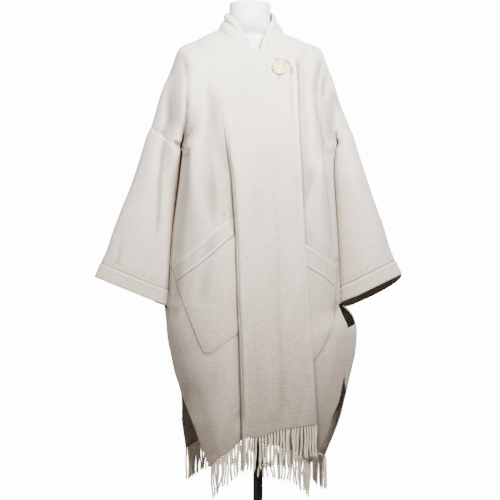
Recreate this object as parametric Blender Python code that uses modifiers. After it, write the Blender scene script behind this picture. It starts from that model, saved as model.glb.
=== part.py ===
"""A wide wool cape coat with fringed hems, buttoned at the neck, standing on a headless dress form.

Metres, +Z up, the front of the cape faces -Y. The origin is on the floor, in the middle of the
stand's foot. The outline tables are in millimetres and hold the cape as it looks from 4 m in front,
drawn on the upright plane through the dress form's axis; true_point() brings a point of that
drawing to its real place once its depth is known.
"""

import math
from collections import namedtuple

import bmesh
import bpy
import numpy as np
from mathutils import Vector

MM = 0.001
VIEW_DISTANCE = 4.0
VIEW_HEIGHT = 0.870
FORM_X = -0.020  # the form's axis lies 20 mm beside the pole

WALL = 0.0025
SEAM = 0.0006  # space between two sewn edges
NECK_SEAM = 0.0008  # space under the collar
LAY_EDGE = 0.0048  # space under a pocket's slanting edges, which pass straight over the turn of the cloth
LAP_LIFT = 0.0110  # the overlapping front lies this far in front of the under front
LAP_START = 0.000  # where the lap begins to lift, across
LAP_SOFT = 0.050

COLLAR_LEVEL = 1.46
HEM_HEIGHT = 0.46  # the cloth's rim is level below this height
STRAND = 0.0034
STRAND_LENGTH = 0.073
STRAND_SWAY = 0.004  # the strands lean to one side and the other along the hem
STRAND_STRAY = 0.0011
STRAND_SECTIONS = ((0.4, 1.0), (0.75, 1.0), (1.0, 0.75))  # share of its length, share of its thickness
STRIP = 0.006  # height of the strip that the strands hang from
SIDE_SEAM_DEPTH = 0.0015  # border points nearer than this to the plane of the side seams lie on a seam

# Outline of each side from the neck over the shoulder and down the outside of the sleeve: across, up.
OUTER_RIGHT = ((-76.5, 1431), (-107, 1418), (-135, 1403), (-161, 1393), (-176, 1385), (-183, 1376), (-189, 1360),
               (-201.5, 1324), (-222, 1278), (-236, 1232), (-250.7, 1182), (-263, 1155.6), (-285.6, 1081.6),
               (-306, 1023), (-327, 972), (-349, 913), (-363, 870), (-375, 844.5), (-394, 801))
OUTER_LEFT = ((84, 1419.5), (115, 1408), (145, 1395), (171, 1385), (182, 1374), (196, 1337), (212, 1296),
              (224, 1252.5), (242, 1206.6), (256, 1173.5), (261, 1163), (275, 1117), (293, 1061), (314, 997.5),
              (337, 934), (354.5, 875), (370, 839), (385, 809))
ARMHOLE_TOP_RIGHT = 10  # row of the outline where the sleeve is sewn on
ARMHOLE_TOP_LEFT = 9

# The narrow gap between sleeve and body, from the armpit down to the cuff.
GAP_RIGHT = ((-178.5, 1125), (-181, 1105), (-185, 1061), (-189, 1018), (-196, 964), (-201.5, 913), (-204, 870),
             (-206.5, 834), (-208, 768), (-213.5, 728))
GAP_LEFT = ((224, 1133), (219.5, 1099.5), (218, 1061), (221, 1018), (224, 954), (227.5, 878), (229.5, 816),
            (232, 735))
GAP_HALF = 2.6
ARMPIT_HALF = 0.5

# The body's outline below the cuffs, down to the corner of the back's hem.
BELOW_RIGHT = ((-211.6, 722), (-211.6, 684), (-207.5, 640), (-200, 605), (-191, 561), (-176, 513), (-172, 480),
               (-172, 436), (-168, 406), (-160.6, 350), (-159, 300))
BELOW_LEFT = ((233, 731), (243, 722), (254, 711), (263, 698), (270, 671), (269.5, 638), (265, 600), (253, 549), (241.5, 498),
              (228, 444), (211, 398), (189, 344), (184, 300))

# Side edges of the two fronts: the seam, then the edge of the open slit.
FRONT_SIDE_RIGHT = ((-176.5, 520), (-175, 511), (-159.6, 469), (-138.5, 416), (-123.7, 373), (-111, 339), (-100.5, 316),
                    (-98, 290))
FRONT_SIDE_LEFT = ((229.4, 735), (232, 722), (238.7, 697), (247, 673), (248, 640), (246, 602), (241.5, 569), (232, 520),
                   (223, 480), (206.5, 443), (198, 411), (180, 371), (173, 353), (153, 327), (150, 290))
# Edge of the back where it wraps round to the front: on the outline beside the open hollow and the slit.
WRAP_EDGE = ((270, 690), (262, 678), (248, 670), (249, 640), (247, 602), (243, 569), (240, 545), (241.5, 498))
WRAP_TOP = 690
WRAP_LOW = 498

LAP_EDGE = ((119.5, 1285), (121, 1252), (123, 1201), (125.5, 1145), (129.5, 1082), (132.6, 1018), (136, 954),
            (140, 888), (148, 796), (153, 689), (160.6, 579), (165.8, 487), (169.6, 426), (170, 400))
LAP_TOP = ((-8, 1387), (30.6, 1380.5), (58.7, 1372), (81.6, 1365), (99.5, 1361), (108, 1356), (112, 1350),
           (117, 1324), (119.5, 1285))
UNDER_EDGE = ((30, 1450), (30, 290))
NECK_RIGHT = ((-76.5, 1431), (-58, 1422), (-34, 1404), (-8, 1387))
NECK_LEFT = ((30, 1356), (46, 1368), (62, 1387), (74, 1406), (84, 1419.5))
NECK_BACK = ((-76.5, 1431), (-62, 1441), (-36, 1448), (0, 1450), (36, 1446), (66, 1434), (84, 1419.5))

HEM_RIGHT = ((-100.5, 317), (-81.6, 337), (-61, 352), (-33, 374), (-16, 391), (24, 393), (74, 411), (107, 416),
             (143, 422), (172, 426))
HEM_LEFT = ((28, 375), (66, 371), (102, 363), (125, 348), (154, 325))
HEM_BACK = ((-166, 362), (-125, 386), (-60, 398), (0, 400), (60, 398), (125, 380), (165, 356), (195, 340))

# Depth of the cloth in front of and behind the axis, and how wide the turn at the side is: up, front, back, turn.
DEPTHS = ((1500, 80, 60, 55), (1440, 84, 72, 58), (1400, 92, 90, 62), (1360, 104, 104, 70), (1320, 118, 112, 76),
          (1250, 138, 120, 84), (1180, 150, 125, 88), (1100, 154, 125, 92), (1000, 152, 128, 108),
          (870, 156, 140, 130), (730, 166, 154, 148), (600, 172, 164, 150), (450, 172, 164, 142), (300, 168, 160, 132))
DEPTH_SHIFTS = (-48, -32, -16, 0, 16, 32, 48)
FOLD_FADE = 30  # folds fade out towards the outline over this width
ARM_DEPTH = 66  # half the thickness of the sleeve at the armhole
ARM_FROM = 150
ARM_TO = 215
ARM_LOW = 1060
ARM_HIGH = 1150

# Main folds of the front: line (up, across), rise towards the viewer, width on the image-left and image-right side
# of the line, top and low end with the length over which each fades.
FOLDS_FRONT = (
    dict(name="sleeve crease right", line=((1340, -191), (1303, -201), (1252, -204), (1209, -204), (1168, -211),
                                           (1125, -219), (1040, -230), (870, -240)),
         rise=-9, left=22, right=16, top=1345, top_fade=60, low=850, low_fade=200),
    dict(name="armpit valley right", line=((1372, -172), (1337, -158), (1303, -150), (1270, -153), (1235, -156),
                                           (1200, -161), (1160, -168), (1125, -178), (1060, -186)),
         rise=-16, left=22, right=34, top=1380, top_fade=90, low=1070, low_fade=60),
    dict(name="chest hollow", line=((1320, -120), (1265, -97), (1240, -90), (1175, -94), (1000, -97), (850, -100)),
         rise=-8, left=40, right=40, top=1330, top_fade=120, low=840, low_fade=200),
    dict(name="main tuck", line=((1480, -80.5), (1431, -80.5), (1252, -71), (1130, -53.5), (1061, -43), (997, -38), (926, -33),
                                 (852, -30.6), (760, -28), (689, -25.5), (633, -22), (561, -20.4), (487, -18),
                                 (390, -16), (290, -14)),
         rise=20, left=4, right=105, top=1260, top_fade=230, low=250, low_fade=40),
    dict(name="pocket valley", line=((905, -92), (873, -102), (827, -110), (791, -118), (700, -127)),
         rise=-7, left=30, right=26, top=930, top_fade=60, low=690, low_fade=80),
    dict(name="slit flute right", line=((600, -120), (316, -70)),
         rise=9, left=45, right=45, top=620, top_fade=180, low=250, low_fade=30),
    dict(name="sleeve step left", line=((1372, 178), (1337, 172), (1303, 166), (1265, 163), (1209, 166), (1189, 172),
                                        (1145, 178.5), (1105, 185), (1061, 191), (997, 198), (934, 206.5),
                                        (878, 211.6), (850, 219)),
         rise=14, left=60, right=4, top=1380, top_fade=110, low=850, low_fade=40),
    dict(name="upper sleeve crease left", line=((1340, 196), (1303, 189), (1265, 182)),
         rise=-5, left=14, right=20, top=1350, top_fade=30, low=1250, low_fade=30),
    dict(name="slit flute left", line=((640, 205), (327, 120)),
         rise=10, left=42, right=40, top=660, top_fade=200, low=250, low_fade=30),
)
FOLDS_BACK = (
    dict(name="back fold 1", line=((1250, -120), (300, -118)), rise=14, left=44, right=40, top=1180, top_fade=420,
         low=250, low_fade=30),
    dict(name="back fold 2", line=((1300, -45), (300, -40)), rise=-13, left=46, right=42, top=1230, top_fade=380,
         low=250, low_fade=30),
    dict(name="back fold 3", line=((1250, 35), (300, 30)), rise=12, left=42, right=46, top=1150, top_fade=420,
         low=250, low_fade=30),
    dict(name="back fold 4", line=((1300, 120), (300, 108)), rise=-13, left=44, right=50, top=1200, top_fade=400,
         low=250, low_fade=30),
    dict(name="armpit fold right", line=((1330, -140), (1125, -176)), rise=-12, left=30, right=30, top=1350,
         top_fade=100, low=1060, low_fade=60),
    dict(name="armpit fold left", line=((1330, 165), (1133, 218)), rise=-12, left=30, right=30, top=1350,
         top_fade=100, low=1060, low_fade=60),
)

# Upper edge of the collar, from the buttoned end round the back to the other end: share of the neck edge, across,
# up, depth.
COLLAR_TOP = ((0, -2, 1396, -88), (0.05, -13, 1416, -78), (0.12, -26, 1440, -66), (0.18, -38, 1456, -54),
              (0.23, -52, 1467, -34), (0.28, -60, 1472, -2), (0.36, -50, 1475, 40), (0.44, -28, 1478, 59),
              (0.5, 0, 1479, 64), (0.56, 28, 1477, 59), (0.64, 50, 1474, 40), (0.72, 61, 1468, -2),
              (0.78, 60, 1456, -28), (0.84, 49, 1438, -50), (0.90, 38, 1414, -64), (0.95, 31, 1392, -76),
              (1.0, 25, 1372, -89))

# Pockets: the upper edge with the hidden inner edge, the outer edge with the lower edge, and the space (in metres)
# between the pocket and the front that it lies on.
POCKET_RIGHT = dict(
    lay=0.0009,
    upper=((-203, 825), (-190, 842), (-163, 857), (-143, 873), (-120, 891), (-99, 911), (-76.5, 931), (-56, 948),
           (-39.5, 905.5), (-37.5, 905), (-34, 850), (-31.5, 760), (-29, 689), (-28, 660)),
    lower=((-203, 824), (-196, 804), (-189, 783), (-171, 735), (-153, 689), (-135, 643), (-124, 618), (-117, 607),
           (-106, 605), (-94, 609), (-74, 625), (-51, 643), (-31.5, 657), (-28, 659)))
POCKET_LEFT = dict(
    lay=0.0015,
    upper=((55, 661), (60, 800), (66, 880), (80, 924), (112, 903), (143, 883), (163, 870), (181, 855), (204, 843),
           (214, 836), (225, 822)),
    lower=((55, 660), (85, 628), (112, 596), (135, 570), (143, 568), (150, 574), (162, 590), (175, 605), (186, 623),
           (200, 653), (214, 692), (220, 730), (225, 821)))
POCKET_LEAST = 4  # a strip of pocket that is lower than this is left out

BUTTON_AT = (76, 1334)
BUTTON_RADIUS = 0.0192
# Half section of the button, from the middle of its face to its back: radius, height over the cloth.
BUTTON_SECTION = ((0, 4.2), (4, 4.6), (8, 4.3), (11.5, 3.9), (13.4, 4.6), (15.2, 5.6), (17.2, 5.6), (18.7, 4.6),
                  (19.2, 3.2), (18.2, 1.4), (15, 0.4), (0, 0))

# Dress form: height, half width, front, back. The shoulders have half width, front, back and the space under the
# cape's shoulder line, which rests on the first of them.
FORM_NECK = ((1497, 44, 45, 45), (1499, 50, 51, 51), (1495, 52.5, 53, 53), (1470, 52, 53, 53), (1446, 51, 51, 51),
             (1430, 58, 40, 40), (1420, 70, 24, 24))
FORM_SHOULDERS = ((88, 17, 17, 0.6), (104, 34, 32, 2.8), (124, 34, 32, 3.0), (140, 38, 36, 3.4))
FORM_TORSO = ((1372, 150, 58, 56), (1330, 160, 84, 80), (1270, 163, 104, 90), (1190, 160, 118, 90),
              (1110, 148, 112, 84), (1040, 132, 96, 78), (990, 126, 92, 78), (920, 142, 102, 92), (850, 158, 112, 104),
              (780, 162, 114, 106), (748, 158, 110, 102), (742, 150, 104, 96))
FORM_SIDES = 28
POLE_RADIUS = 0.0125
BASE_RADIUS = 0.175
BASE_THICK = 0.012

ARMHOLE_STEPS = 6
# Heights of the rows of cloth, as drawn, over and under the armholes.
LEVELS_HIGH = (1480, 1475, 1470, 1465, 1460, 1452, 1440, 1428, 1416, 1404, 1392, 1380, 1366, 1348, 1322, 1290, 1254, 1216)
LEVELS_LOW = (1094, 1045, 980, 905, 825, 760, 732, 713, 693, 671, 635, 585, 530, 475, 432, 396, 364, 334, 300)
TOP_DROPS = (0, 1.5, 5, 11.5)  # rows just under a top edge, where the cloth turns over the shoulder
TOP_SEARCH = (1000.0, 1475.0)  # a panel's top edge lies between these heights
HEM_SEARCH = (600.0, 250.0)
POCKET_HEIGHTS = range(540, 970)


def armhole_levels(top, armpit):
    """Heights down an armhole, closest at its two ends."""
    return tuple(armpit + (top - armpit) * (1 + math.cos(math.pi * i / ARMHOLE_STEPS)) / 2
                 for i in range(ARMHOLE_STEPS + 1))


LEVELS_RIGHT = (LEVELS_HIGH + armhole_levels(OUTER_RIGHT[ARMHOLE_TOP_RIGHT][1], GAP_RIGHT[0][1]) + LEVELS_LOW)
LEVELS_LEFT = (LEVELS_HIGH + armhole_levels(OUTER_LEFT[ARMHOLE_TOP_LEFT][1], GAP_LEFT[0][1]) + LEVELS_LOW)


def polyline(table):
    return np.array(table, dtype=float)


def across_at(table, up):
    """Where an outline of (across, up) rows lies at a height."""
    rows = polyline(table)
    order = np.argsort(rows[:, 1])
    return np.interp(up, rows[order, 1], rows[order, 0])


def up_at(table, across):
    rows = polyline(table)
    order = np.argsort(rows[:, 0])
    return np.interp(across, rows[order, 0], rows[order, 1])


def along(table, share):
    """The point at a share of an outline's length."""
    rows = polyline(table)
    steps = np.linalg.norm(np.diff(rows, axis=0), axis=1)
    length = np.concatenate(([0.0], np.cumsum(steps))) / steps.sum()
    return np.array([np.interp(share, length, column) for column in rows.T])


def smooth(value):
    value = np.clip(value, 0.0, 1.0)
    return value * value * (3 - 2 * value)


def distance_to(table, across, up):
    rows = polyline(table)
    best = 1e9
    for a, b in zip(rows[:-1], rows[1:]):
        run = b - a
        share = np.clip(((across - a[0]) * run[0] + (up - a[1]) * run[1]) / (run @ run), 0, 1)
        best = min(best, math.hypot(across - a[0] - share * run[0], up - a[1] - share * run[1]))
    return best


def beside_gap(gap, side):
    """The gap's line moved to one side, least at the armpit."""
    return tuple((x + side * (GAP_HALF if i else ARMPIT_HALF), z) for i, (x, z) in enumerate(gap))


BODY_RIGHT = beside_gap(GAP_RIGHT, 1) + BELOW_RIGHT
BODY_LEFT = beside_gap(GAP_LEFT, -1) + BELOW_LEFT
EDGES = (OUTER_RIGHT, OUTER_LEFT, BODY_RIGHT, BODY_LEFT)


def softened(up, heights, values):
    """Reads a table at a height with the corners between its rows rounded off."""
    return float(np.mean([np.interp(up + shift, heights, values) for shift in DEPTH_SHIFTS]))


def depth_at(across, up, front):
    """Depth of the cloth's outer face: full in the middle, turning to nothing at the outline."""
    rows = polyline(DEPTHS)[::-1]
    full = softened(up, rows[:, 0], rows[:, 1 if front else 2])
    turn = softened(up, rows[:, 0], rows[:, 3])
    arm = smooth((abs(across) - ARM_FROM) / (ARM_TO - ARM_FROM)) * smooth((up - ARM_LOW) / (ARM_HIGH - ARM_LOW))
    full = full * (1 - arm) + min(full, ARM_DEPTH) * arm
    inside = min(distance_to(edge, across, up) for edge in EDGES)
    share = min(inside / turn, 1.0)
    rounding = math.sqrt(max(0.0, 1 - (1 - share) ** 2))
    lift = sum(fold_rise(fold, across, up) for fold in (FOLDS_FRONT if front else FOLDS_BACK))
    return full * rounding + lift * smooth(inside / FOLD_FADE)


def fold_rise(fold, across, up):
    rows = polyline(fold["line"])[::-1]
    off = across - np.interp(up, rows[:, 0], rows[:, 1])
    side = fold["left"] if off < 0 else fold["right"]
    ends = smooth((fold["top"] - up) / fold["top_fade"]) * smooth((up - fold["low"]) / fold["low_fade"])
    return fold["rise"] * smooth(1 - abs(off) / side) * ends


def true_point(across, up, depth):
    """The real place of a point drawn at (across, up) mm that lies depth metres behind the axis."""
    scale = (VIEW_DISTANCE + depth) / VIEW_DISTANCE
    height = VIEW_HEIGHT + (up * MM - VIEW_HEIGHT) * scale
    return (FORM_X + across * MM * scale, depth, height)


def front_point(across, up, lift=0.0):
    return true_point(across, up, -depth_at(across, up, True) * MM - SEAM / 2 - lift)


def back_point(across, up, lift=0.0):
    return true_point(across, up, depth_at(across, up, False) * MM + SEAM / 2 + lift)


def lap_point(across, up):
    lift = LAP_LIFT * smooth((across * MM - LAP_START) / LAP_SOFT)
    return front_point(across, up, float(lift))


def collection(name):
    found = bpy.data.collections.new(name)
    bpy.context.scene.collection.children.link(found)
    return found


def material(name, colour, roughness, metallic=0.0):
    made = bpy.data.materials.new(name)
    made.use_nodes = True
    shader = made.node_tree.nodes["Principled BSDF"]
    shader.inputs["Base Color"].default_value = (*colour, 1)
    shader.inputs["Roughness"].default_value = roughness
    shader.inputs["Metallic"].default_value = metallic
    return made


def add_object(name, mesh, finish, group):
    mesh.materials.append(finish)
    made = bpy.data.objects.new(name, mesh)
    group.objects.link(made)
    return made


def grid_surface(rows, closed=False):
    """An open surface through rows of points. Points that fall together are shared."""
    bm = bmesh.new()
    known = {}

    def vert(point):
        key = tuple(round(c * 1e5) for c in point)
        if key not in known:
            known[key] = bm.verts.new(point)
        return known[key]

    grid = [[vert(point) for point in row] for row in rows]
    for upper, lower in zip(grid[:-1], grid[1:]):
        count = len(upper)
        for i in range(count if closed else count - 1):
            j = (i + 1) % count
            for corners in ((upper[i], lower[i], lower[j]), (upper[i], lower[j], upper[j])):
                if len(set(corners)) == 3 and bm.faces.get(corners) is None:
                    bm.faces.new(corners)
    loose = [v for v in bm.verts if not v.link_faces]
    bmesh.ops.delete(bm, geom=loose, context="VERTS")
    return bm


def wall_mesh(name, bm, outward, seam_depth=SIDE_SEAM_DEPTH, level_below=HEM_HEIGHT):
    """Gives an open surface its thickness on the inner side. outward tells which way a face looks.
    The rim of a side or shoulder seam is kept square to the seam."""
    bm.normal_update()
    total = sum((face.normal.dot(outward(face.calc_center_median())) * face.calc_area() for face in bm.faces))
    if total < 0:
        bmesh.ops.reverse_faces(bm, faces=bm.faces[:])
        bm.normal_update()
    border = [edge for edge in bm.edges if edge.is_boundary]
    outer_faces = bm.faces[:]
    inner = {}
    for v in bm.verts[:]:
        normal = sum((face.normal * face.calc_area() for face in v.link_faces), Vector())
        if v.is_boundary and abs(v.co.y) < seam_depth:
            normal.y = 0
        elif v.is_boundary:
            normal.z = 0 if v.co.z < level_below else max(normal.z, 0)
        normal.normalize()
        inner[v] = bm.verts.new(v.co - normal * WALL)
    for edge in border:
        loop = edge.link_loops[0]
        a, b = loop.vert, loop.link_loop_next.vert
        bm.faces.new((b, a, inner[a], inner[b]))
    for face in outer_faces:
        bm.faces.new([inner[v] for v in reversed(face.verts)])
    mesh = bpy.data.meshes.new(name)
    bm.to_mesh(mesh)
    bm.free()
    return mesh


def facing(direction):
    return lambda point: Vector(direction)


def column_lines(guides, counts, spread):
    """Lines down the cloth as functions of height: counts of them between two guides, closer to the first guide
    where the spread is over 1 and to the second where it is under 1."""
    lines = []
    for left, right, count, power in zip(guides[:-1], guides[1:], counts, spread):
        for step in range(count):
            share = (step / count) ** power if power >= 1 else 1 - (1 - step / count) ** (1 / power)
            lines.append(lambda up, a=left, b=right, s=share: a(up) * (1 - s) + b(up) * s)
    return lines + [guides[-1]]


def crossing(line, edge_of, inside, outside):
    """Height at which a line down the cloth meets an edge, between a height inside the panel and one outside it."""
    above = outside > inside
    for _ in range(40):
        middle = (inside + outside) / 2
        kept = middle <= edge_of(line(middle)) if above else middle >= edge_of(line(middle))
        inside, outside = (middle, outside) if kept else (inside, middle)
    return inside


Column = namedtuple("Column", "line ups points")


def panel_columns(lines, levels, top_of, bottom_of, place):
    """Columns of a panel. levels are the rows' heights at the first and the last line. Rows past the end of a line stay
    at its end, but for the few that follow the turn under the top edge."""
    columns = []
    for i, line in enumerate(lines):
        top, bottom = crossing(line, top_of, *TOP_SEARCH), crossing(line, bottom_of, *HEM_SEARCH)
        share = i / (len(lines) - 1)
        ups = [min(max(a + (b - a) * share, bottom), top) for a, b in zip(*levels)]
        below = next(k for k, up in enumerate(ups) if up < top - TOP_DROPS[-1] * 1.5)
        for k, drop in enumerate(reversed(TOP_DROPS)):
            if below - 1 - k >= 0:
                ups[below - 1 - k] = top - drop
        for k in range(below - len(TOP_DROPS)):
            ups[k] = top
        columns.append(Column(line, ups, [place(line(up), up) for up in ups]))
    return columns


def rows_of(columns):
    return [list(row) for row in zip(*(column.points for column in columns))]


def pocket_rows(panel, outline, place):
    """Rows of a pocket on the points of the front that carries it, moved out by the pocket's own wall."""
    upper_of, lower_of = hem_of(outline["upper"]), hem_of(outline["lower"])
    columns = []
    for column in panel:
        line = column.line
        held = [up for up in POCKET_HEIGHTS if lower_of(line(up)) <= up <= upper_of(line(up))]
        if not held or held[-1] - held[0] < POCKET_LEAST:
            continue
        heights, points = column.ups[::-1], np.array(column.points[::-1])
        lifted = []
        for level in column.ups:
            up = min(max(level, held[0]), held[-1])
            lay = outline["lay"] if up in column.ups else LAY_EDGE
            base = Vector([np.interp(up, heights, points[:, axis]) for axis in range(3)])
            lifted.append(tuple(base + surface_normal(line(up), up, place) * (lay + WALL)))
        columns.append(lifted)
    return [list(row) for row in zip(*columns)]


def side_right(up):
    """Left border of the wearer's right front in the drawing: armhole, seam, then slit edge."""
    top = OUTER_RIGHT[ARMHOLE_TOP_RIGHT]
    armpit = (GAP_RIGHT[0][0], GAP_RIGHT[0][1])
    if up >= armpit[1]:
        share = min((up - armpit[1]) / (top[1] - armpit[1]), 1)
        return armpit[0] + (top[0] - armpit[0]) * share + ARMPIT_HALF
    if up > FRONT_SIDE_RIGHT[0][1]:
        return float(across_at(BODY_RIGHT, up))
    return float(across_at(FRONT_SIDE_RIGHT, up))


def side_left(up):
    top = OUTER_LEFT[ARMHOLE_TOP_LEFT]
    armpit = GAP_LEFT[0]
    if up >= armpit[1]:
        share = min((up - armpit[1]) / (top[1] - armpit[1]), 1)
        return armpit[0] + (top[0] - armpit[0]) * share - ARMPIT_HALF
    if up > FRONT_SIDE_LEFT[0][1]:
        return float(across_at(BODY_LEFT, up))
    return float(across_at(FRONT_SIDE_LEFT, up))


def back_side_right(up):
    return side_right(up) if up > GAP_RIGHT[0][1] else float(across_at(BODY_RIGHT, up))


def back_side_left(up):
    return side_left(up) if up > GAP_LEFT[0][1] else float(across_at(BODY_LEFT, up))


def fold_line(name, shift=0.0):
    fold = next(f for f in FOLDS_FRONT if f["name"] == name)
    rows = polyline(fold["line"])[::-1]
    return lambda up: float(np.interp(up, rows[:, 0], rows[:, 1])) + shift


def right_top(across):
    """Top edge of the right front: shoulder, neck seam, then the free top edge of the lap."""
    if across < NECK_RIGHT[0][0]:
        return float(up_at(OUTER_RIGHT[:ARMHOLE_TOP_RIGHT + 1], across))
    if across < NECK_RIGHT[-1][0]:
        return float(up_at(NECK_RIGHT, across))
    return float(up_at(LAP_TOP, across))


def left_top(across):
    if across > NECK_LEFT[-1][0]:
        return float(up_at(OUTER_LEFT[:ARMHOLE_TOP_LEFT + 1], across))
    return float(up_at(NECK_LEFT, across))


def back_top(across):
    if across < NECK_BACK[0][0]:
        return float(up_at(OUTER_RIGHT[:ARMHOLE_TOP_RIGHT + 1], across))
    if across > NECK_BACK[-1][0]:
        return float(up_at(OUTER_LEFT[:ARMHOLE_TOP_LEFT + 1], across))
    return float(up_at(NECK_BACK, across))


def lap_border(up):
    return float(across_at(LAP_EDGE, up))


def step_guide(shift):
    """Line of the step beside the left sleeve, kept inside the slit's edge lower down."""
    line = fold_line("sleeve step left", shift)
    edge = UNDER_EDGE[0][0]
    return lambda up: min(line(up), edge + (side_left(up) - edge) * (0.88 + shift * 0.006))


def right_lines():
    return column_lines((side_right, fold_line("main tuck", -6), fold_line("main tuck", 4), lap_border), (9, 2, 8),
                        (1.7, 1, 1))


def left_lines():
    return column_lines((lambda up: float(across_at(UNDER_EDGE, up)), lambda up: NECK_LEFT[-1][0], step_guide(-4),
                         step_guide(5), side_left), (4, 6, 2, 5), (1, 1, 1, 0.8))


def back_lines():
    return column_lines((back_side_right, lambda up: NECK_BACK[0][0], lambda up: NECK_BACK[-1][0], back_side_left),
                        (7, 7, 7), (1.6, 1, 0.62))


def hem_of(table):
    return lambda across: float(up_at(table, across))


def back_rows():
    rows = rows_of(panel_columns(back_lines(), (LEVELS_RIGHT, LEVELS_LEFT), back_top, hem_of(HEM_BACK), back_point))
    for row, level in zip(rows, LEVELS_LEFT):
        edge = back_side_left(level)
        for share in (0.5, 1.0):
            if WRAP_LOW < level < WRAP_TOP:
                across = edge + (float(across_at(WRAP_EDGE, level)) - edge) * share
                row.append(front_point(across, level))
            else:
                row.append(row[-1])
    return rows


SLEEVE_SHARES = (0.0016, 0.06, 0.14, 0.25, 0.38, 0.52, 0.66, 0.8, 0.93, 1.0)
SLEEVE_BLEND = 0.3  # share of the sleeve over which the armhole's section becomes the sleeve's own
SLEEVE_DEPTH = (58, 34)  # half depth below the armhole and at the cuff
BACK_DROP_LEFT = 20  # the left cuff hangs lower behind


def sleeve_rings(outer, gap, side, drop):
    """Rings from the armhole, whose points are those of the fronts' and back's border, to the cuff."""
    inner = beside_gap(gap, side)
    start_high, start_low = np.array(outer[0], dtype=float), np.array(inner[0])
    rings = []
    for share in SLEEVE_SHARES:
        high, low = along(outer, share), along(inner, share)
        blend = float(smooth(share / SLEEVE_BLEND))
        half = SLEEVE_DEPTH[0] + (SLEEVE_DEPTH[1] - SLEEVE_DEPTH[0]) * share
        ring = []
        for i in range(2 * ARMHOLE_STEPS):
            turn = math.pi * i / ARMHOLE_STEPS
            part = (1 - math.cos(turn)) / 2
            point = high + (low - high) * part
            front = i <= ARMHOLE_STEPS
            bulge = abs(math.sin(turn))
            own = half * bulge
            if front:
                own += bulge * sum(fold_rise(fold, *point) for fold in FOLDS_FRONT)
            first = start_high + (start_low - start_high) * part
            first[0] -= side * 2 * ARMPIT_HALF
            seam = depth_at(*first, front) if i % ARMHOLE_STEPS else 0
            depth = seam * (1 - blend) + own * blend
            up = point[1] if front else point[1] - drop * bulge ** 0.6 * share ** 3
            ring.append(true_point(point[0], up, (-depth if front else depth) * MM))
        rings.append(ring)
    return rings


def make_sleeve(name, outer, gap, side, drop, group, wool):
    start = (outer[0][0] + side * ARMPIT_HALF, outer[0][1])
    rings = sleeve_rings((start,) + tuple(outer[1:]), gap, side, drop)
    centres = [Vector(np.mean(ring, axis=0)) for ring in rings]

    def outward(point):
        nearest = min(centres, key=lambda centre: (centre - point).length)
        return point - nearest

    return add_object(name, wall_mesh(name, grid_surface(rings, closed=True), outward, -1), wool, group)


def neck_points(rows, first, last):
    """The points of a panel's top row that lie on its neck edge, between two places across."""
    points = []
    for x, y, z in rows[0]:
        across = (x - FORM_X) / MM * VIEW_DISTANCE / (VIEW_DISTANCE + y)
        if first <= across <= last:
            points.append(Vector((x, y, z + NECK_SEAM)))
    return points


def make_collar(right, back, left, group, wool):
    """A standing band on the neck edge's own points, from the buttoned end round the back to the other end."""
    low = neck_points(right, NECK_RIGHT[0][0] + 2, NECK_RIGHT[-1][0] + 1)[::-1]
    low += neck_points(back, NECK_BACK[0][0] - 0.5, NECK_BACK[-1][0] + 0.5)
    low += neck_points(left, NECK_LEFT[0][0] - 1, NECK_LEFT[-1][0] - 2)[::-1]
    halfway = [a.lerp(b, 0.5) for a, b in zip(low[:-1], low[1:])]
    low = [point for pair in zip(low, halfway) for point in pair] + low[-1:]
    run = np.concatenate(([0.0], np.cumsum([(b - a).length for a, b in zip(low[:-1], low[1:])])))
    share = run / run[-1]
    table = polyline(COLLAR_TOP)
    columns = []
    for point, at in zip(low, share):
        across, up, depth = (np.interp(at, table[:, 0], table[:, k]) for k in (1, 2, 3))
        high = Vector(true_point(across, up, depth * MM))
        columns.append([tuple(point), tuple(point.lerp(high, 0.35)), tuple(point.lerp(high, 0.7)), tuple(high)])
    rows = [list(row) for row in zip(*columns)]
    axis = Vector((FORM_X, 0, 0))

    def outward(point):
        away = point - axis
        away.z = 0
        return away

    return add_object("collar", wall_mesh("collar", grid_surface(rows), outward, -1, COLLAR_LEVEL), wool, group)


def surface_normal(across, up, place, step=2.0):
    a, b = Vector(place(across - step, up)), Vector(place(across + step, up))
    c, d = Vector(place(across, up - step)), Vector(place(across, up + step))
    normal = (b - a).cross(d - c)
    return normal.normalized()


def make_pocket(name, outline, panel, group, wool, place):
    rows = pocket_rows(panel, outline, place)
    return add_object(name, wall_mesh(name, grid_surface(rows), facing((0, -1, 0)), -1), wool, group)


def make_button(group, finish):
    across, up = BUTTON_AT
    normal = surface_normal(across, up, lap_point, 12.0)
    centre = Vector(lap_point(across, up))
    proud = 0.0
    for turn in range(12):
        angle = 2 * math.pi * turn / 12
        for radius in (0.5, 1.0):
            reach = BUTTON_RADIUS / MM * radius
            beside = Vector(lap_point(across + reach * math.cos(angle), up + reach * math.sin(angle)))
            proud = max(proud, (beside - centre).dot(normal))
    mesh = bpy.data.meshes.new("button")
    bm = bmesh.new()
    verts = [bm.verts.new((r * MM, 0, h * MM)) for r, h in BUTTON_SECTION]
    for a, b in zip(verts[:-1], verts[1:]):
        bm.edges.new((a, b))
    bm.to_mesh(mesh)
    bm.free()
    made = add_object("button", mesh, finish, group)
    screw = made.modifiers.new("turn", "SCREW")
    screw.steps = screw.render_steps = 32
    screw.use_merge_vertices = True
    screw.merge_threshold = 1e-5
    screw.use_smooth_shade = True
    made.location = centre + normal * (proud + 0.0005)
    made.rotation_euler = normal.to_track_quat("Z", "Y").to_euler()
    return made


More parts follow.
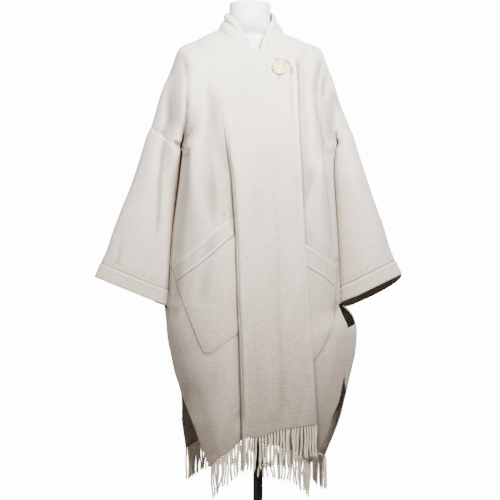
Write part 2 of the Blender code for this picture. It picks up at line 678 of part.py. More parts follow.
def make_fringe(name, line, spacing, group, yarn, seed):
    """A strip parted from the cloth's hem by the seam's space, and a row of strands that hang from it."""
    rng = np.random.default_rng(seed)
    line = [Vector(point) for point in line]
    run = np.concatenate(([0.0], np.cumsum([(b - a).length for a, b in zip(line[:-1], line[1:])])))
    count = int((run[-1] - STRAND) / spacing)
    first = (run[-1] - (count - 1) * spacing - STRAND) / 2
    stations = [0.0]
    for i in range(count):
        stations += [first + i * spacing, first + i * spacing + STRAND]
    stations.append(float(run[-1]))

    def at(length):
        return Vector([np.interp(length, run, [p[axis] for p in line]) for axis in range(3)])

    def inward(length):
        run_on = at(min(length + 0.004, run[-1])) - at(max(length - 0.004, 0))
        side = Vector((run_on.y, -run_on.x, 0)).normalized()
        return side if side.dot(Vector((FORM_X, 0, 0)) - at(length)) > 0 else -side

    bm = bmesh.new()
    sections = []
    for length in stations:
        top = at(length) - Vector((0, 0, SEAM))
        back = inward(length) * WALL
        low = Vector((0, 0, STRIP))
        sections.append([bm.verts.new(p) for p in (top, top - low, top - low + back, top + back)])
    bm.faces.new(sections[0])
    bm.faces.new(sections[-1][::-1])
    for i, (a, b) in enumerate(zip(sections[:-1], sections[1:])):
        for k in (0, 2, 3):
            bm.faces.new((a[k], a[(k + 1) % 4], b[(k + 1) % 4], b[k]))
        if i % 2 == 0:
            bm.faces.new((a[1], a[2], b[2], b[1]))
            continue
        ring = [a[1], a[2], b[2], b[1]]
        middle = sum((v.co for v in ring), Vector()) / 4
        run_on = (b[1].co - a[1].co).normalized()
        inside = (a[2].co - a[1].co).normalized()
        sway = math.sin(stations[i] * 31 + seed) * STRAND_SWAY
        length = STRAND_LENGTH * (1 + 0.05 * rng.uniform(-1, 1))
        for share, thick in STRAND_SECTIONS:
            aside = sway * share ** 2 + rng.uniform(-1, 1) * STRAND_STRAY
            inwards = rng.uniform(-1, 1) * STRAND_STRAY * share
            shift = run_on * aside + inside * inwards - Vector((0, 0, (length - STRIP) * share))
            lower = [bm.verts.new(middle + shift + (v.co - middle_of(ring)) * thick) for v in ring]
            for k in range(4):
                bm.faces.new((ring[k], ring[(k + 1) % 4], lower[(k + 1) % 4], lower[k]))
            ring = lower
        bm.faces.new(ring)
    bmesh.ops.recalc_face_normals(bm, faces=bm.faces[:])
    mesh = bpy.data.meshes.new(name)
    bm.to_mesh(mesh)
    bm.free()
    return add_object(name, mesh, yarn, group)


def middle_of(ring):
    return sum((v.co for v in ring), Vector()) / len(ring)


def shoulder_under(width, space):
    """Height at which the form's shoulder meets the underside of the cape, at a distance from the axis."""
    lowest = min(float(up_at(OUTER_RIGHT[:5], -width)), float(up_at(OUTER_LEFT[:4], width)))
    return lowest - WALL / MM * 1.1 - space


def make_form(group, finish):
    rows = list(FORM_NECK)
    rows += [(shoulder_under(width, space), width, front, back) for width, front, back, space in FORM_SHOULDERS]
    rows += list(FORM_TORSO)
    rings = []
    for up, width, front, back in rows:
        ring = []
        for i in range(FORM_SIDES):
            turn = 2 * math.pi * i / FORM_SIDES
            depth = -front * math.cos(turn) if math.cos(turn) > 0 else -back * math.cos(turn)
            ring.append((FORM_X + width * math.sin(turn) * MM, depth * MM, up * MM))
        rings.append(ring)
    bm = grid_surface(rings, closed=True)
    bm.verts.ensure_lookup_table()
    bmesh.ops.holes_fill(bm, edges=[edge for edge in bm.edges if edge.is_boundary], sides=0)
    bmesh.ops.recalc_face_normals(bm, faces=bm.faces[:])
    mesh = bpy.data.meshes.new("dress_form")
    bm.to_mesh(mesh)
    bm.free()
    return add_object("dress_form", mesh, finish, group)


def make_rod(name, radius, low, high, sides, group, finish):
    mesh = bpy.data.meshes.new(name)
    bm = bmesh.new()
    bmesh.ops.create_cone(bm, cap_ends=True, segments=sides, radius1=radius, radius2=radius, depth=high - low)
    bmesh.ops.translate(bm, verts=bm.verts[:], vec=(0, 0, (high + low) / 2))
    bm.to_mesh(mesh)
    bm.free()
    return add_object(name, mesh, finish, group)


def main():
    for old in list(bpy.data.objects):
        bpy.data.objects.remove(old, do_unlink=True)
    group = collection("cape_coat_on_dress_form")
    wool = {name: material("wool_" + name, (0.80, 0.76, 0.69), 0.95) for name in (
        "front_right", "front_left", "back", "sleeve_right", "sleeve_left", "collar", "pocket_right", "pocket_left")}
    yarn = {name: material("yarn_" + name, (0.78, 0.73, 0.64), 0.95) for name in (
        "fringe_front_right", "fringe_front_left", "fringe_back")}
    ivory = material("ivory_button", (0.86, 0.80, 0.64), 0.35)
    white = material("white_form", (0.90, 0.90, 0.89), 0.5)
    black = material("black_pole", (0.02, 0.02, 0.02), 0.4, 0.6)
    black_foot = material("black_foot", (0.02, 0.02, 0.02), 0.45, 0.6)

    right_panel = panel_columns(right_lines(), (LEVELS_RIGHT, LEVELS_RIGHT), right_top, hem_of(HEM_RIGHT), lap_point)
    left_panel = panel_columns(left_lines(), (LEVELS_LEFT, LEVELS_LEFT), left_top, hem_of(HEM_LEFT), front_point)
    right, left, back = rows_of(right_panel), rows_of(left_panel), back_rows()
    for name, rows, way in (("front_right", right, -1), ("front_left", left, -1), ("back", back, 1)):
        add_object(name, wall_mesh(name, grid_surface(rows), facing((0, way, 0))), wool[name], group)
    make_sleeve("sleeve_right", OUTER_RIGHT[ARMHOLE_TOP_RIGHT:], GAP_RIGHT, -1, 0, group, wool["sleeve_right"])
    make_sleeve("sleeve_left", OUTER_LEFT[ARMHOLE_TOP_LEFT:], GAP_LEFT, 1, BACK_DROP_LEFT, group, wool["sleeve_left"])
    make_collar(right, back, left, group, wool["collar"])
    make_pocket("pocket_right", POCKET_RIGHT, right_panel, group, wool["pocket_right"], lap_point)
    make_pocket("pocket_left", POCKET_LEFT, left_panel, group, wool["pocket_left"], front_point)
    make_button(group, ivory)
    for name, line, spacing, seed in (("fringe_front_right", right[-1], 0.0072, 3),
                                      ("fringe_front_left", left[-1], 0.0076, 5),
                                      ("fringe_back", back[-1][:-2], 0.0100, 8)):
        make_fringe(name, line, spacing, group, yarn[name], seed)
    make_form(group, white)
    low = min(row[0] for row in FORM_TORSO) * MM
    make_rod("stand_pole", POLE_RADIUS, BASE_THICK + 0.0003, low - 0.0003, 20, group, black)
    foot = make_rod("stand_base", BASE_RADIUS, 0.0, BASE_THICK, 48, group, black_foot)
    bevel = foot.modifiers.new("soft edge", "BEVEL")
    bevel.width = 0.003
    bevel.segments = 2


main()
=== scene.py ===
"""Looks of a wide wool cape coat with fringed hems, buttoned at the neck, on a headless dress form.

Metres, +Z up, the front of the cape faces -Y. The outline tables are in millimetres and hold the cape
as it looks from 4 m in front, drawn on the upright plane through the dress form's axis: across from
that axis and up from the floor. true_points() brings a drawn point to its real place.
"""

import math

import bmesh
import bpy
import numpy as np
from mathutils import Matrix, Vector


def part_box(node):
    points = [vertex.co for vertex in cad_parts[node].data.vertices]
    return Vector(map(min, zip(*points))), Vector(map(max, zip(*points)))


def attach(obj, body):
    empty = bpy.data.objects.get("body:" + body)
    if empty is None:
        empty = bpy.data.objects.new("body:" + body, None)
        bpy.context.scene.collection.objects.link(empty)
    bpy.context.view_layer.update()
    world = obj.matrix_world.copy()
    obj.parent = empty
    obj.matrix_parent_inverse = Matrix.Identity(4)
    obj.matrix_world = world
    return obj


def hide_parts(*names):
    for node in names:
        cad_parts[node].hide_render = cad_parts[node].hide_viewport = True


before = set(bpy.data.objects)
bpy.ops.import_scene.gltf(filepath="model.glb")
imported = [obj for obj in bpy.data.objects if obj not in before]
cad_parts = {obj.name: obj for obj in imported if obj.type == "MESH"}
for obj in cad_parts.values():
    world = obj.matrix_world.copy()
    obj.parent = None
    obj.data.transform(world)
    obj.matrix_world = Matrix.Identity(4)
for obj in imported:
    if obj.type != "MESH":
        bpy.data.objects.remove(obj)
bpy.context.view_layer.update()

MM = 0.001
VIEW_DISTANCE = 4.0
VIEW_HEIGHT = 0.870
PHOTO_PIXELS = 500
PIXEL = 2.55  # mm at the form's axis
SENSOR = 36  # width of the camera's sensor, mm
STRAY = 0.022  # how far strands lean apart from their neighbours, as a share of their length
WAVE = 0.024  # how far strands wave from side to side, as a share of their length
LEAN = 1.25  # how much of its lean a strand takes
SWAYS = ((0.044, 0.83), (0.036, 0.31))  # leaning in groups: share of the length, turn from strand to strand
BOWS = ((0.030, 0.55), (0.03, 1.9))  # the same for the bow to the side and for the lean in depth
STRAND_POINTS = 16
STRAND_LENGTH = 0.078
ROOT_OVERLAP = 0.0035
FORM_X = -0.020  # the form's axis lies 20 mm beside the pole
WALL = 0.0025
SOFT_EDGE = 0.0009  # width of the rounding of the cloth's edges, metres
SHOULDER_ALLOWANCE = (0, -0.006, -0.0032)  # from the back's top edge, under the fronts
LAP_LIFT = 9.5  # the overlapping front lies this far in front of the under front
LAP_START = -40.0  # where it begins to lift, across
LAP_SOFT = 110.0
POCKET_LIFT = 3.4
BAND = 38.0  # height of the stitched hem of cuffs and pockets, mm
FAR = 1e3  # stands for no edge nearby, mm
# Wool colours: at the shoulders, at the hem; then what a cloud, a furrow and a fold multiply them by.
# The darker tone at the hem and the furrow and fold tones are painted shade; the cloud is the wool's own
# uneven tone.
OUTSIDE_TONES = ((0.86, 0.79, 0.68), (0.315, 0.25, 0.19), (0.92, 0.89, 0.86), (0.70, 0.66, 0.61),
                 (0.46, 0.41, 0.38))
# The inside's tones: a darker copy of the wool, painted shade on the cape's inner faces and cut edges.
INSIDE_TONES = ((0.38, 0.31, 0.24), (0.28, 0.22, 0.17), (0.88, 0.86, 0.83), (0.80, 0.77, 0.73),
                (0.7, 0.66, 0.62))
# Painted highlight: the wool turns towards this colour where the hollow attribute falls below nought.
RIDGE_HIGHLIGHT_COLOUR = (0.93, 0.90, 0.85, 1)
SPECK_COLOUR = (0.22, 0.18, 0.14, 1)
TONE_TOP = 1.42  # heights between which the wool darkens as painted shade, metres
TONE_LOW = 0.36
GRAIN_SCALE = (60, 330, 1)
POCKET_GRAINS = (-38, 34)  # slant of the pockets' cloth, degrees
# Painted shade by how deep a point lies in a fold or stitched line, at two scales:
HOLLOW_SCALES = ((2, 0.0004, 0.6), (6, 0.0060, 0.09))  # grid steps on each side, depth in metres, share

# Outline of each side from the neck over the shoulder and down the outside of the sleeve: across, up.
OUTER_RIGHT = ((-76.5, 1431), (-107, 1418), (-135, 1403), (-161, 1393), (-176, 1385), (-183, 1376),
               (-189, 1360), (-201.5, 1324), (-222, 1278), (-236, 1232), (-250.7, 1182), (-263, 1155.6),
               (-285.6, 1081.6), (-306, 1023), (-327, 972), (-349, 913), (-363, 870), (-375, 844.5),
               (-394, 801))
OUTER_LEFT = ((84, 1419.5), (115, 1408), (145, 1395), (171, 1385), (182, 1374), (196, 1337), (212, 1296),
              (224, 1252.5), (242, 1206.6), (256, 1173.5), (261, 1163), (275, 1117), (293, 1061),
              (314, 997.5), (337, 934), (354.5, 875), (370, 839), (385, 809))
ARMHOLE_TOP_RIGHT = 10  # row of the outline where the sleeve is sewn on
ARMHOLE_TOP_LEFT = 9

# The narrow gap between sleeve and body, from the armpit down to the cuff.
GAP_RIGHT = ((-178.5, 1125), (-181, 1105), (-185, 1061), (-189, 1018), (-196, 964), (-201.5, 913),
             (-204, 870), (-206.5, 834), (-208, 768), (-213.5, 728))
GAP_LEFT = ((224, 1133), (219.5, 1099.5), (218, 1061), (221, 1018), (224, 954), (227.5, 878), (229.5, 816),
            (232, 735))
GAP_HALF = 1.1
ARMPIT_HALF = 0.5

# The body's outline below the cuffs, down to the corner of the back's hem.
BELOW_RIGHT = ((-211.6, 722), (-211.6, 684), (-207.5, 640), (-200, 605), (-191, 561), (-176, 513),
               (-172, 480), (-172, 436), (-168, 406), (-160.6, 350), (-159, 300))
BELOW_LEFT = ((233, 731), (243, 722), (254, 711), (263, 698), (270, 671), (269.5, 638), (265, 600),
              (253, 549), (241.5, 498), (228, 444), (211, 398), (189, 344), (184, 300))

# Side edges of the two fronts: the seam, then the edge of the open slit.
FRONT_SIDE_RIGHT = ((-176.5, 520), (-175, 511), (-159.6, 469), (-138.5, 416), (-123.7, 373), (-111, 339),
                    (-100.5, 316), (-98, 290))
FRONT_SIDE_LEFT = ((229.4, 735), (232, 722), (238.7, 697), (247, 673), (248, 640), (246, 602), (241.5, 569),
                   (232, 520), (223, 480), (206.5, 443), (198, 411), (180, 371), (173, 353), (153, 327),
                   (150, 290))
# Edge of the back where it wraps round to the front, beside the open hollow and the slit.
WRAP_TOP = 690
WRAP_LOW = 498
WRAP_STEP = (0, -0.00001, 0)  # keeps columns apart where nothing wraps round, metres
WRAP_SHARES = (0.12, 0.3, 0.5, 0.7, 0.85, 1.0)
WRAP_EDGE = ((270, 690), (262, 678), (248, 670), (249, 640), (247, 602), (243, 569), (240, 545), (241.5, 498))

LAP_EDGE = ((119.5, 1285), (121, 1252), (123, 1201), (125.5, 1145), (129.5, 1082), (132.6, 1018), (136, 954),
            (140, 888), (148, 796), (153, 689), (160.6, 579), (165.8, 487), (169.6, 426), (170, 400))
LAP_CORNER = 1350  # height at which the lap's side edge turns into its top edge
LAP_TOP = ((-8, 1387), (30.6, 1380.5), (58.7, 1372), (81.6, 1365), (99.5, 1361), (108, 1356), (112, 1350),
           (117, 1324), (119.5, 1285))
UNDER_EDGE = 30.0  # where the under front ends behind the lap, across
NECK_RIGHT = ((-76.5, 1431), (-58, 1422), (-34, 1404), (-8, 1387))
NECK_LEFT = ((30, 1356), (46, 1368), (62, 1387), (74, 1406), (84, 1419.5))
NECK_BACK = ((-76.5, 1431), (-62, 1441), (-36, 1448), (0, 1450), (36, 1446), (66, 1434), (84, 1419.5))

HEM_RIGHT = ((-100.5, 317), (-81.6, 337), (-61, 352), (-33, 374), (-16, 391), (24, 393), (74, 411),
             (107, 416), (143, 422), (172, 426))
HEM_LEFT = ((28, 375), (66, 371), (102, 363), (125, 348), (154, 325))
HEM_BACK = ((-166, 362), (-125, 386), (-60, 398), (0, 400), (60, 398), (125, 380), (165, 356), (195, 340))

# Cloth's depth in front of and behind the axis, and the width of the turn at the side: up, front, back, turn.
DEPTHS = ((1500, 80, 60, 55), (1440, 84, 72, 58), (1400, 92, 90, 62), (1360, 104, 104, 70),
          (1320, 118, 112, 76), (1250, 138, 120, 84), (1180, 150, 125, 88), (1100, 154, 125, 92),
          (1000, 152, 128, 108), (870, 156, 140, 130), (730, 166, 154, 148), (600, 172, 164, 150),
          (450, 172, 164, 142), (300, 168, 160, 132))
TOP_BETWEEN = (1000.0, 1475.0)  # heights between which every top edge and every hem lies
HEM_BETWEEN = (600.0, 250.0)
DEPTH_SHIFTS = np.linspace(-48, 48, 13)
FOLD_FADE = 30  # folds fade out towards the outline over this width
ARM_DEPTH = 66  # half the thickness of the sleeve at the armhole
ARM_FROM = 150
ARM_TO = 215
ARM_LOW = 1060
ARM_HIGH = 1150

# Main folds: name, line (up, across), rise towards the viewer, width on the left and right of the line, then
# the top and the low end, each followed by the length over which the fold fades there.
FOLDS_FRONT = (
    ("sleeve crease right", ((1340, -191), (1303, -201), (1252, -204), (1209, -204), (1168, -211),
     (1125, -219), (1040, -230), (870, -240)), -6, 22, 16, 1345, 60, 850, 200),
    ("armpit valley right", ((1372, -172), (1337, -158), (1303, -150), (1270, -153), (1235, -156),
     (1200, -161), (1160, -168), (1125, -178), (1060, -186)), -5, 24, 36, 1380, 90, 1070, 60),
    ("chest hollow", ((1320, -120), (1265, -97), (1240, -90), (1175, -94), (1000, -97), (850, -100)), -5, 46,
     46, 1330, 120, 840, 200),
    ("main tuck", ((1480, -80.5), (1431, -80.5), (1252, -71), (1130, -53.5), (1061, -43), (997, -38),
     (926, -33), (852, -30.6), (760, -28), (689, -25.5), (633, -22), (561, -20.4), (487, -18), (390, -16),
     (290, -14)), 20, 4, 105, 1260, 230, 250, 40),
    ("pocket valley", ((905, -92), (873, -102), (827, -110), (791, -118), (700, -127)), -7, 30, 26, 930, 60,
     690, 80),
    ("slit flute right", ((600, -120), (316, -70)), 5, 50, 50, 620, 180, 250, 30),
    ("sleeve step left", ((1372, 178), (1337, 172), (1303, 166), (1265, 163), (1209, 166), (1189, 172),
     (1145, 178.5), (1105, 185), (1061, 191), (997, 198), (934, 206.5), (878, 211.6), (850, 219)), 14, 60, 4,
     1380, 110, 850, 40),
    ("upper sleeve crease left", ((1340, 196), (1303, 189), (1265, 182)), -5, 14, 20, 1350, 30, 1250, 30),
    ("slit flute left", ((640, 205), (327, 120)), 4, 42, 40, 660, 200, 250, 30),
)
FOLDS_BACK = (
    ("back fold 1", ((1250, -120), (300, -118)), 14, 44, 40, 1180, 420, 250, 30),
    ("back fold 2", ((1300, -45), (300, -40)), -13, 46, 42, 1230, 380, 250, 30),
    ("back fold 3", ((1250, 35), (300, 30)), 12, 42, 46, 1150, 420, 250, 30),
    ("back fold 4", ((1300, 120), (300, 108)), -13, 44, 50, 1200, 400, 250, 30),
    ("armpit fold right", ((1330, -140), (1125, -176)), -12, 30, 30, 1350, 100, 1060, 60),
    ("armpit fold left", ((1330, 165), (1133, 218)), -12, 30, 30, 1350, 100, 1060, 60),
)

# Upper edge of the collar, from the buttoned end round the back to the other end: share of the neck edge,
# across, up, depth.
COLLAR_TOP = ((0, -2, 1396, -88), (0.05, -13, 1416, -78), (0.12, -26, 1440, -66), (0.18, -38, 1456, -54),
              (0.23, -52, 1467, -34), (0.28, -57, 1470, -2), (0.36, -49, 1473, 40), (0.44, -28, 1478, 59),
              (0.5, 0, 1479, 64), (0.56, 28, 1477, 59), (0.64, 50, 1474, 40), (0.72, 56.5, 1466, -2),
              (0.78, 56, 1454, -28), (0.84, 48, 1437, -50), (0.90, 38, 1414, -64), (0.95, 31, 1392, -76),
              (1.0, 25, 1372, -89))

# Pockets: the upper edge with the hidden inner edge, and the outer edge with the lower edge.
POCKET_RIGHT = dict(
    upper=((-203, 825), (-190, 842), (-163, 857), (-143, 873), (-120, 891), (-99, 911), (-76.5, 931),
           (-56, 948), (-39.5, 905.5), (-37.5, 905), (-34, 850), (-31.5, 760), (-29, 689), (-28, 660)),
    mouth=((-240, 812), (-203, 830), (-163, 857), (-143, 873), (-120, 891), (-99, 911), (-76.5, 931),
           (-56, 948), (-20, 980)),
    lower=((-203, 824), (-196, 804), (-189, 783), (-171, 735), (-153, 689), (-135, 643), (-124, 618),
           (-117, 607), (-106, 605), (-94, 609), (-74, 625), (-51, 643), (-31.5, 657), (-28, 659)))
POCKET_LEFT = dict(
    upper=((55, 661), (60, 800), (66, 880), (80, 924), (112, 903), (143, 883), (163, 870), (181, 855),
           (204, 843), (214, 836), (225, 822)),
    mouth=((60, 936), (80, 924), (112, 903), (143, 883), (163, 870), (181, 857), (204, 843), (225, 829),
           (265, 803)),
    lower=((55, 660), (85, 628), (112, 596), (135, 570), (143, 568), (150, 574), (162, 590), (175, 605),
           (186, 623), (200, 653), (214, 692), (220, 730), (225, 821)))

BUTTON_AT = (76, 1334)
# Half section of the button, from the middle of its face to its back: radius, height.
BUTTON_SECTION = ((0, 3.6), (3, 3.6), (6, 3.55), (9, 3.5), (11.0, 3.5), (12.2, 3.7), (13.0, 4.4), (13.8, 5.2),
                  (15.0, 5.7), (16.6, 5.6), (17.9, 5.0), (18.8, 4.0), (19.1, 3.0), (18.8, 2.0), (17.6, 1.0),
                  (15, 0.4), (10, 0.1), (0, 0))
BUTTON_CARVED = 12.5  # radius of its rough middle
BUTTON_SINK = 0.0028
# The pole's lower end: radius, height. The foot's edge: distance in from its rim, height.
POLE_LOW = ((12.5, 60), (15.5, 58), (16, 56), (16, 14), (15.6, 12.4), (0, 12.4))
FOOT_EDGE = ((14, 12), (6, 11.2), (2, 9), (0.4, 6), (0, 3.5), (0.5, 1), (2, 0))

WORLD_LIGHT = 0.16
BACKDROP_LIGHT = 14.0
FLOOR_RADIUS = 1.25
# Spot lamps: name, place, point they look at, cone in degrees, radius, power.
LAMPS = (("key", (1.0, -2.8, 2.7), (0.0, 0.0, 1.60), 49, 0.40, 2500),
         ("fill", (-2.2, -2.6, 1.9), (-0.05, 0.0, 1.50), 52, 0.7, 560),
         ("back", (1.2, 2.8, 2.6), (0.0, 0.0, 0.9), 70, 0.6, 460))

GAP_SLANT = 6.0  # how far the sides of a narrow gap lean, mm
GAP_SLANT_DEPTH = 25.0
GAP_SLANT_REACH = 45.0
ARMPIT_TURN = 34.0  # width of the body's turn beside the gap
VALLEY_FLOOR = 0.55  # depth of the cloth in an open valley above the armpit, as a share of the full depth
VALLEY_OPENS = 60.0  # height over which a valley opens above the armpit
# Valleys that run on from the armpits towards the shoulders: across, up.
VALLEY_RIGHT = ((-178.5, 1125), (-168, 1160), (-161, 1200), (-156, 1235), (-153, 1270), (-150, 1320))
VALLEY_LEFT = ((224, 1133), (217, 1170), (209, 1220), (203, 1260), (198, 1320))

SLEEVE_DEPTH = (58, 34)  # half depth below the armhole and at the cuff
SLEEVE_BLEND = 0.3  # share of the sleeve over which it takes its own depth
BACK_DROP_LEFT = 20  # how much lower the back of the left cuff hangs

# Dress form: height, half width, front, back.
FORM_NECK = ((1497, 0, 0, 0), (1497, 44, 45, 45), (1499, 50, 51, 51), (1495, 52.5, 53, 53),
             (1470, 52, 53, 53), (1446, 51, 51, 51), (1430, 58, 40, 40), (1420, 70, 24, 24))
FORM_SHOULDERS = ((88, 17, 17, 0.9), (104, 34, 32, 3.4), (124, 34, 32, 3.6), (140, 38, 36, 4.2))
FORM_TORSO = ((1372, 150, 58, 56), (1330, 160, 84, 80), (1270, 163, 104, 90), (1190, 160, 118, 90),
              (1110, 148, 112, 84), (1040, 132, 96, 78), (990, 126, 92, 78), (920, 142, 102, 92),
              (850, 158, 112, 104), (780, 162, 114, 106), (748, 158, 110, 102), (742, 150, 104, 96),
              (742, 0, 0, 0))


def curved(rows, steps=5):
    """A smooth line through the rows of a table (Catmull-Rom)."""
    rows = np.array(rows, dtype=float)
    padded = np.vstack((2 * rows[0] - rows[1], rows, 2 * rows[-1] - rows[-2]))
    out = []
    for a, b, c, d in zip(padded[:-3], padded[1:-2], padded[2:-1], padded[3:]):
        for t in np.arange(steps) / steps:
            out.append(0.5 * (2 * b + (c - a) * t + (2 * a - 5 * b + 4 * c - d) * t ** 2
                              + (3 * b - a - 3 * c + d) * t ** 3))
    return np.array(out + [rows[-1]])


def across_at(rows, up):
    """Where a line of (across, up) rows lies at a height."""
    rows = np.asarray(rows, dtype=float)
    order = np.argsort(rows[:, 1], kind="stable")
    return np.interp(up, rows[order, 1], rows[order, 0])


def up_at(rows, across):
    rows = np.asarray(rows, dtype=float)
    order = np.argsort(rows[:, 0], kind="stable")
    return np.interp(across, rows[order, 0], rows[order, 1])


def along(rows, share):
    """Points at shares of a line's length."""
    rows = np.asarray(rows, dtype=float)
    steps = np.linalg.norm(np.diff(rows, axis=0), axis=1)
    length = np.concatenate(([0.0], np.cumsum(steps))) / steps.sum()
    return np.stack([np.interp(share, length, column) for column in rows.T], axis=-1)


def smooth(value):
    value = np.clip(value, 0.0, 1.0)
    return value * value * (3 - 2 * value)


def near_line(rows, across, up):
    """Distance to a line, signed by its side, and the distance run along it, for arrays of drawn points."""
    rows = np.asarray(rows, dtype=float)
    best = np.full(np.shape(across), 1e9)
    side = np.ones(np.shape(across))
    run = np.zeros(np.shape(across))
    done = 0.0
    for (ax, az), (bx, bz) in zip(rows[:-1], rows[1:]):
        dx, dz = bx - ax, bz - az
        length = math.hypot(dx, dz)
        share = np.clip(((across - ax) * dx + (up - az) * dz) / length ** 2, 0, 1)
        off = np.hypot(across - ax - share * dx, up - az - share * dz)
        closer = off < best
        best = np.where(closer, off, best)
        side = np.where(closer, np.sign((up - az) * dx - (across - ax) * dz + 1e-12), side)
        run = np.where(closer, done + share * length, run)
        done += length
    return best, side, run, done


def beside_gap(gap, side):
    """The gap's line moved to one side, least at the armpit."""
    return tuple((x + side * (GAP_HALF if i else ARMPIT_HALF), z) for i, (x, z) in enumerate(gap))


BODY_RIGHT = beside_gap(GAP_RIGHT, 1) + BELOW_RIGHT
BODY_LEFT = beside_gap(GAP_LEFT, -1) + BELOW_LEFT
EDGES = tuple(curved(rows, 4) for rows in (OUTER_RIGHT, OUTER_LEFT, BODY_RIGHT, BODY_LEFT))


def softened(up, heights, values):
    """Reads a table at heights with the corners between its rows rounded off."""
    return sum(np.interp(up + shift, heights, values) for shift in DEPTH_SHIFTS) / len(DEPTH_SHIFTS)


def fold_rise(fold, across, up):
    _, line, rise, left, right, top, top_fade, low, low_fade = fold
    rows = curved(line)[::-1]
    off = across - np.interp(up, rows[:, 0], rows[:, 1])
    side = np.where(off < 0, left, right)
    ends = smooth((top - up) / top_fade) * smooth((up - low) / low_fade)
    return rise * smooth(1 - np.abs(off) / side) * ends


PUCKER = ((59, 1357.5), (84, 1356.5), (98, 1347), (105, 1330), (106, 1308))  # round the button

# Finer creases: line (across, up), rise, width on the left and right of its run, fade at its start and end.
CREASES_FRONT = (
    (((-62, 1235), (-52, 1130), (-41, 1061), (-36, 997), (-31, 926), (-28, 852), (-26, 760), (-23, 689),
     (-20, 633), (-18, 561), (-16, 487), (-14, 400)), -9, 3, 46, 160, 60),
    (PUCKER, -3.6, 7, 9, 10, 26),
    (((-171, 1385), (-160, 1320), (-159, 1250), (-163, 1190), (-177, 1128)), -7, 9, 12, 70, 6),
    (((177, 1370), (163, 1300), (162, 1250), (172, 1190), (180, 1130), (191, 1061), (206, 934), (217, 852)),
     -5, 16, 7, 60, 20),
    (((-70, 965), (-64, 950)), -2.5, 7, 7, 8, 8),
    (((196, 1335), (189, 1303), (183, 1270)), -3, 7, 9, 12, 14),
    (((40, 1290), (20, 1180), (12, 1020), (20, 860)), -1.6, 40, 36, 120, 160),
    (((90, 1300), (88, 1180), (92, 1000), (100, 820)), 1.6, 32, 30, 120, 160),
    (((150, 1330), (150, 1200), (158, 1060), (170, 930)), -2.0, 22, 26, 60, 80),
    (((30, 800), (45, 620), (60, 430)), 2.4, 40, 36, 160, 60),
    (((110, 780), (122, 600), (130, 440)), -1.0, 32, 30, 160, 80),
    (((-150, 560), (-110, 430), (-88, 340)), -1.4, 20, 22, 60, 20),
    (((-60, 640), (-52, 500), (-46, 380)), -0.8, 26, 24, 120, 60),
)
CREASES_BACK = (
    (((-90, 1330), (-85, 1200), (-80, 1050)), 3.5, 26, 30, 70, 120),
    (((70, 1340), (80, 1230), (78, 1090)), -3.5, 24, 28, 70, 120),
    (((-10, 1380), (-6, 1250), (0, 1120)), 3.0, 30, 26, 60, 120),
    (((-150, 1050), (-160, 820), (-150, 560)), -4.0, 26, 24, 120, 120),
    (((160, 1050), (186, 820), (190, 600)), -4.5, 24, 30, 120, 120),
    (((-70, 800), (-76, 560), (-72, 420)), -3.5, 20, 22, 120, 30),
    (((64, 760), (72, 560), (70, 420)), -3.5, 22, 20, 120, 30),
)
SLEEVE_CREASES_RIGHT = (
    (((-205, 1290), (-226, 1180), (-262, 1040), (-300, 900)), 3.2, 26, 22, 60, 160),
    (((-186, 1110), (-205, 1085), (-240, 1065)), -3.5, 12, 14, 10, 40),
    (((-214, 1120), (-222, 1000), (-236, 880)), -1.6, 20, 18, 60, 80),
    (((-330, 960), (-330, 880), (-340, 820)), -2.6, 18, 20, 40, 20),
)
SLEEVE_CREASES_LEFT = (
    (((206, 1270), (236, 1160), (268, 1030), (300, 900)), 3.0, 24, 22, 60, 160),
    (((224, 1110), (240, 1090), (268, 1070)), -3.2, 12, 14, 10, 40),
    (((340, 940), (344, 880), (350, 830)), -2.6, 16, 18, 40, 20),
)

# Soft painted shade where a fold keeps the light off: the same kind of rows, with a share of the fold's tone
# as rise; a rise below nought paints a highlight.
SHADES_FRONT_RIGHT = (
    (((-130, 1330), (-105, 1240), (-92, 1130), (-85, 1000), (-88, 880)), 0.42, 70, 100, 110, 120),
    (((-158, 1300), (-158, 1252), (-161, 1181), (-177, 1128)), 0.34, 22, 12, 90, 10),
    (((-170, 1360), (-175, 1250), (-186, 1150)), -0.28, 20, 24, 80, 40),
    (((-60, 1200), (-48, 1090), (-38, 950), (-31, 800), (-26, 600)), 0.42, 6, 62, 90, 200),
)
SHADES_FRONT_LEFT = (
    (((128, 1395), (140, 1330), (143, 1260), (146, 1170)), 0.34, 50, 40, 40, 120),
    (((182, 1369), (168, 1291), (161, 1258)), 0.55, 7, 17, 30, 16),
    (((163, 1268), (183, 1150), (204, 972), (219, 857)), 0.34, 6, 24, 40, 30),
)
SHADES_SLEEVE_RIGHT = (
    (((-208, 1217), (-226, 1038), (-240, 860)), 0.14, 30, 26, 80, 120),
)
SHADES_SLEEVE_LEFT = (
    (((196, 1338), (189, 1303), (184, 1275)), 0.35, 7, 9, 14, 16),
    (((240, 1120), (236, 1000), (240, 870)), 0.16, 24, 20, 60, 80),
)


def rise_of(creases, across, up):
    """What all the creases, or all the shades, of a table add up to."""
    return sum(crease_rise(crease, across, up) for crease in creases)


def crease_rise(crease, across, up):
    line, rise, left, right, start, end = crease
    off, side, run, length = near_line(curved(line, 4), across, up)
    width = np.where(side > 0, left, right)
    ends = smooth(run / start) * smooth((length - run) / end)
    return rise * smooth(1 - off / width) * ends


def ripple(across, up, phase):
    """Slight unevenness of hanging cloth, in mm."""
    return (0.9 * np.sin(across / 31 + phase + 0.7 * np.sin(up / 140)) * np.sin(up / 87 + 1.3 * phase)
            + 0.5 * np.sin(across / 17 - up / 61 + 2.1 * phase)
            + 0.35 * np.sin(up / 23 + across / 45 + phase))


def turned_share(share):
    """Height of a rounded turn, 0 at its edge and 1 on top."""
    return np.sqrt(np.clip(1 - (1 - np.clip(share, 0, 1)) ** 2, 0, 1))


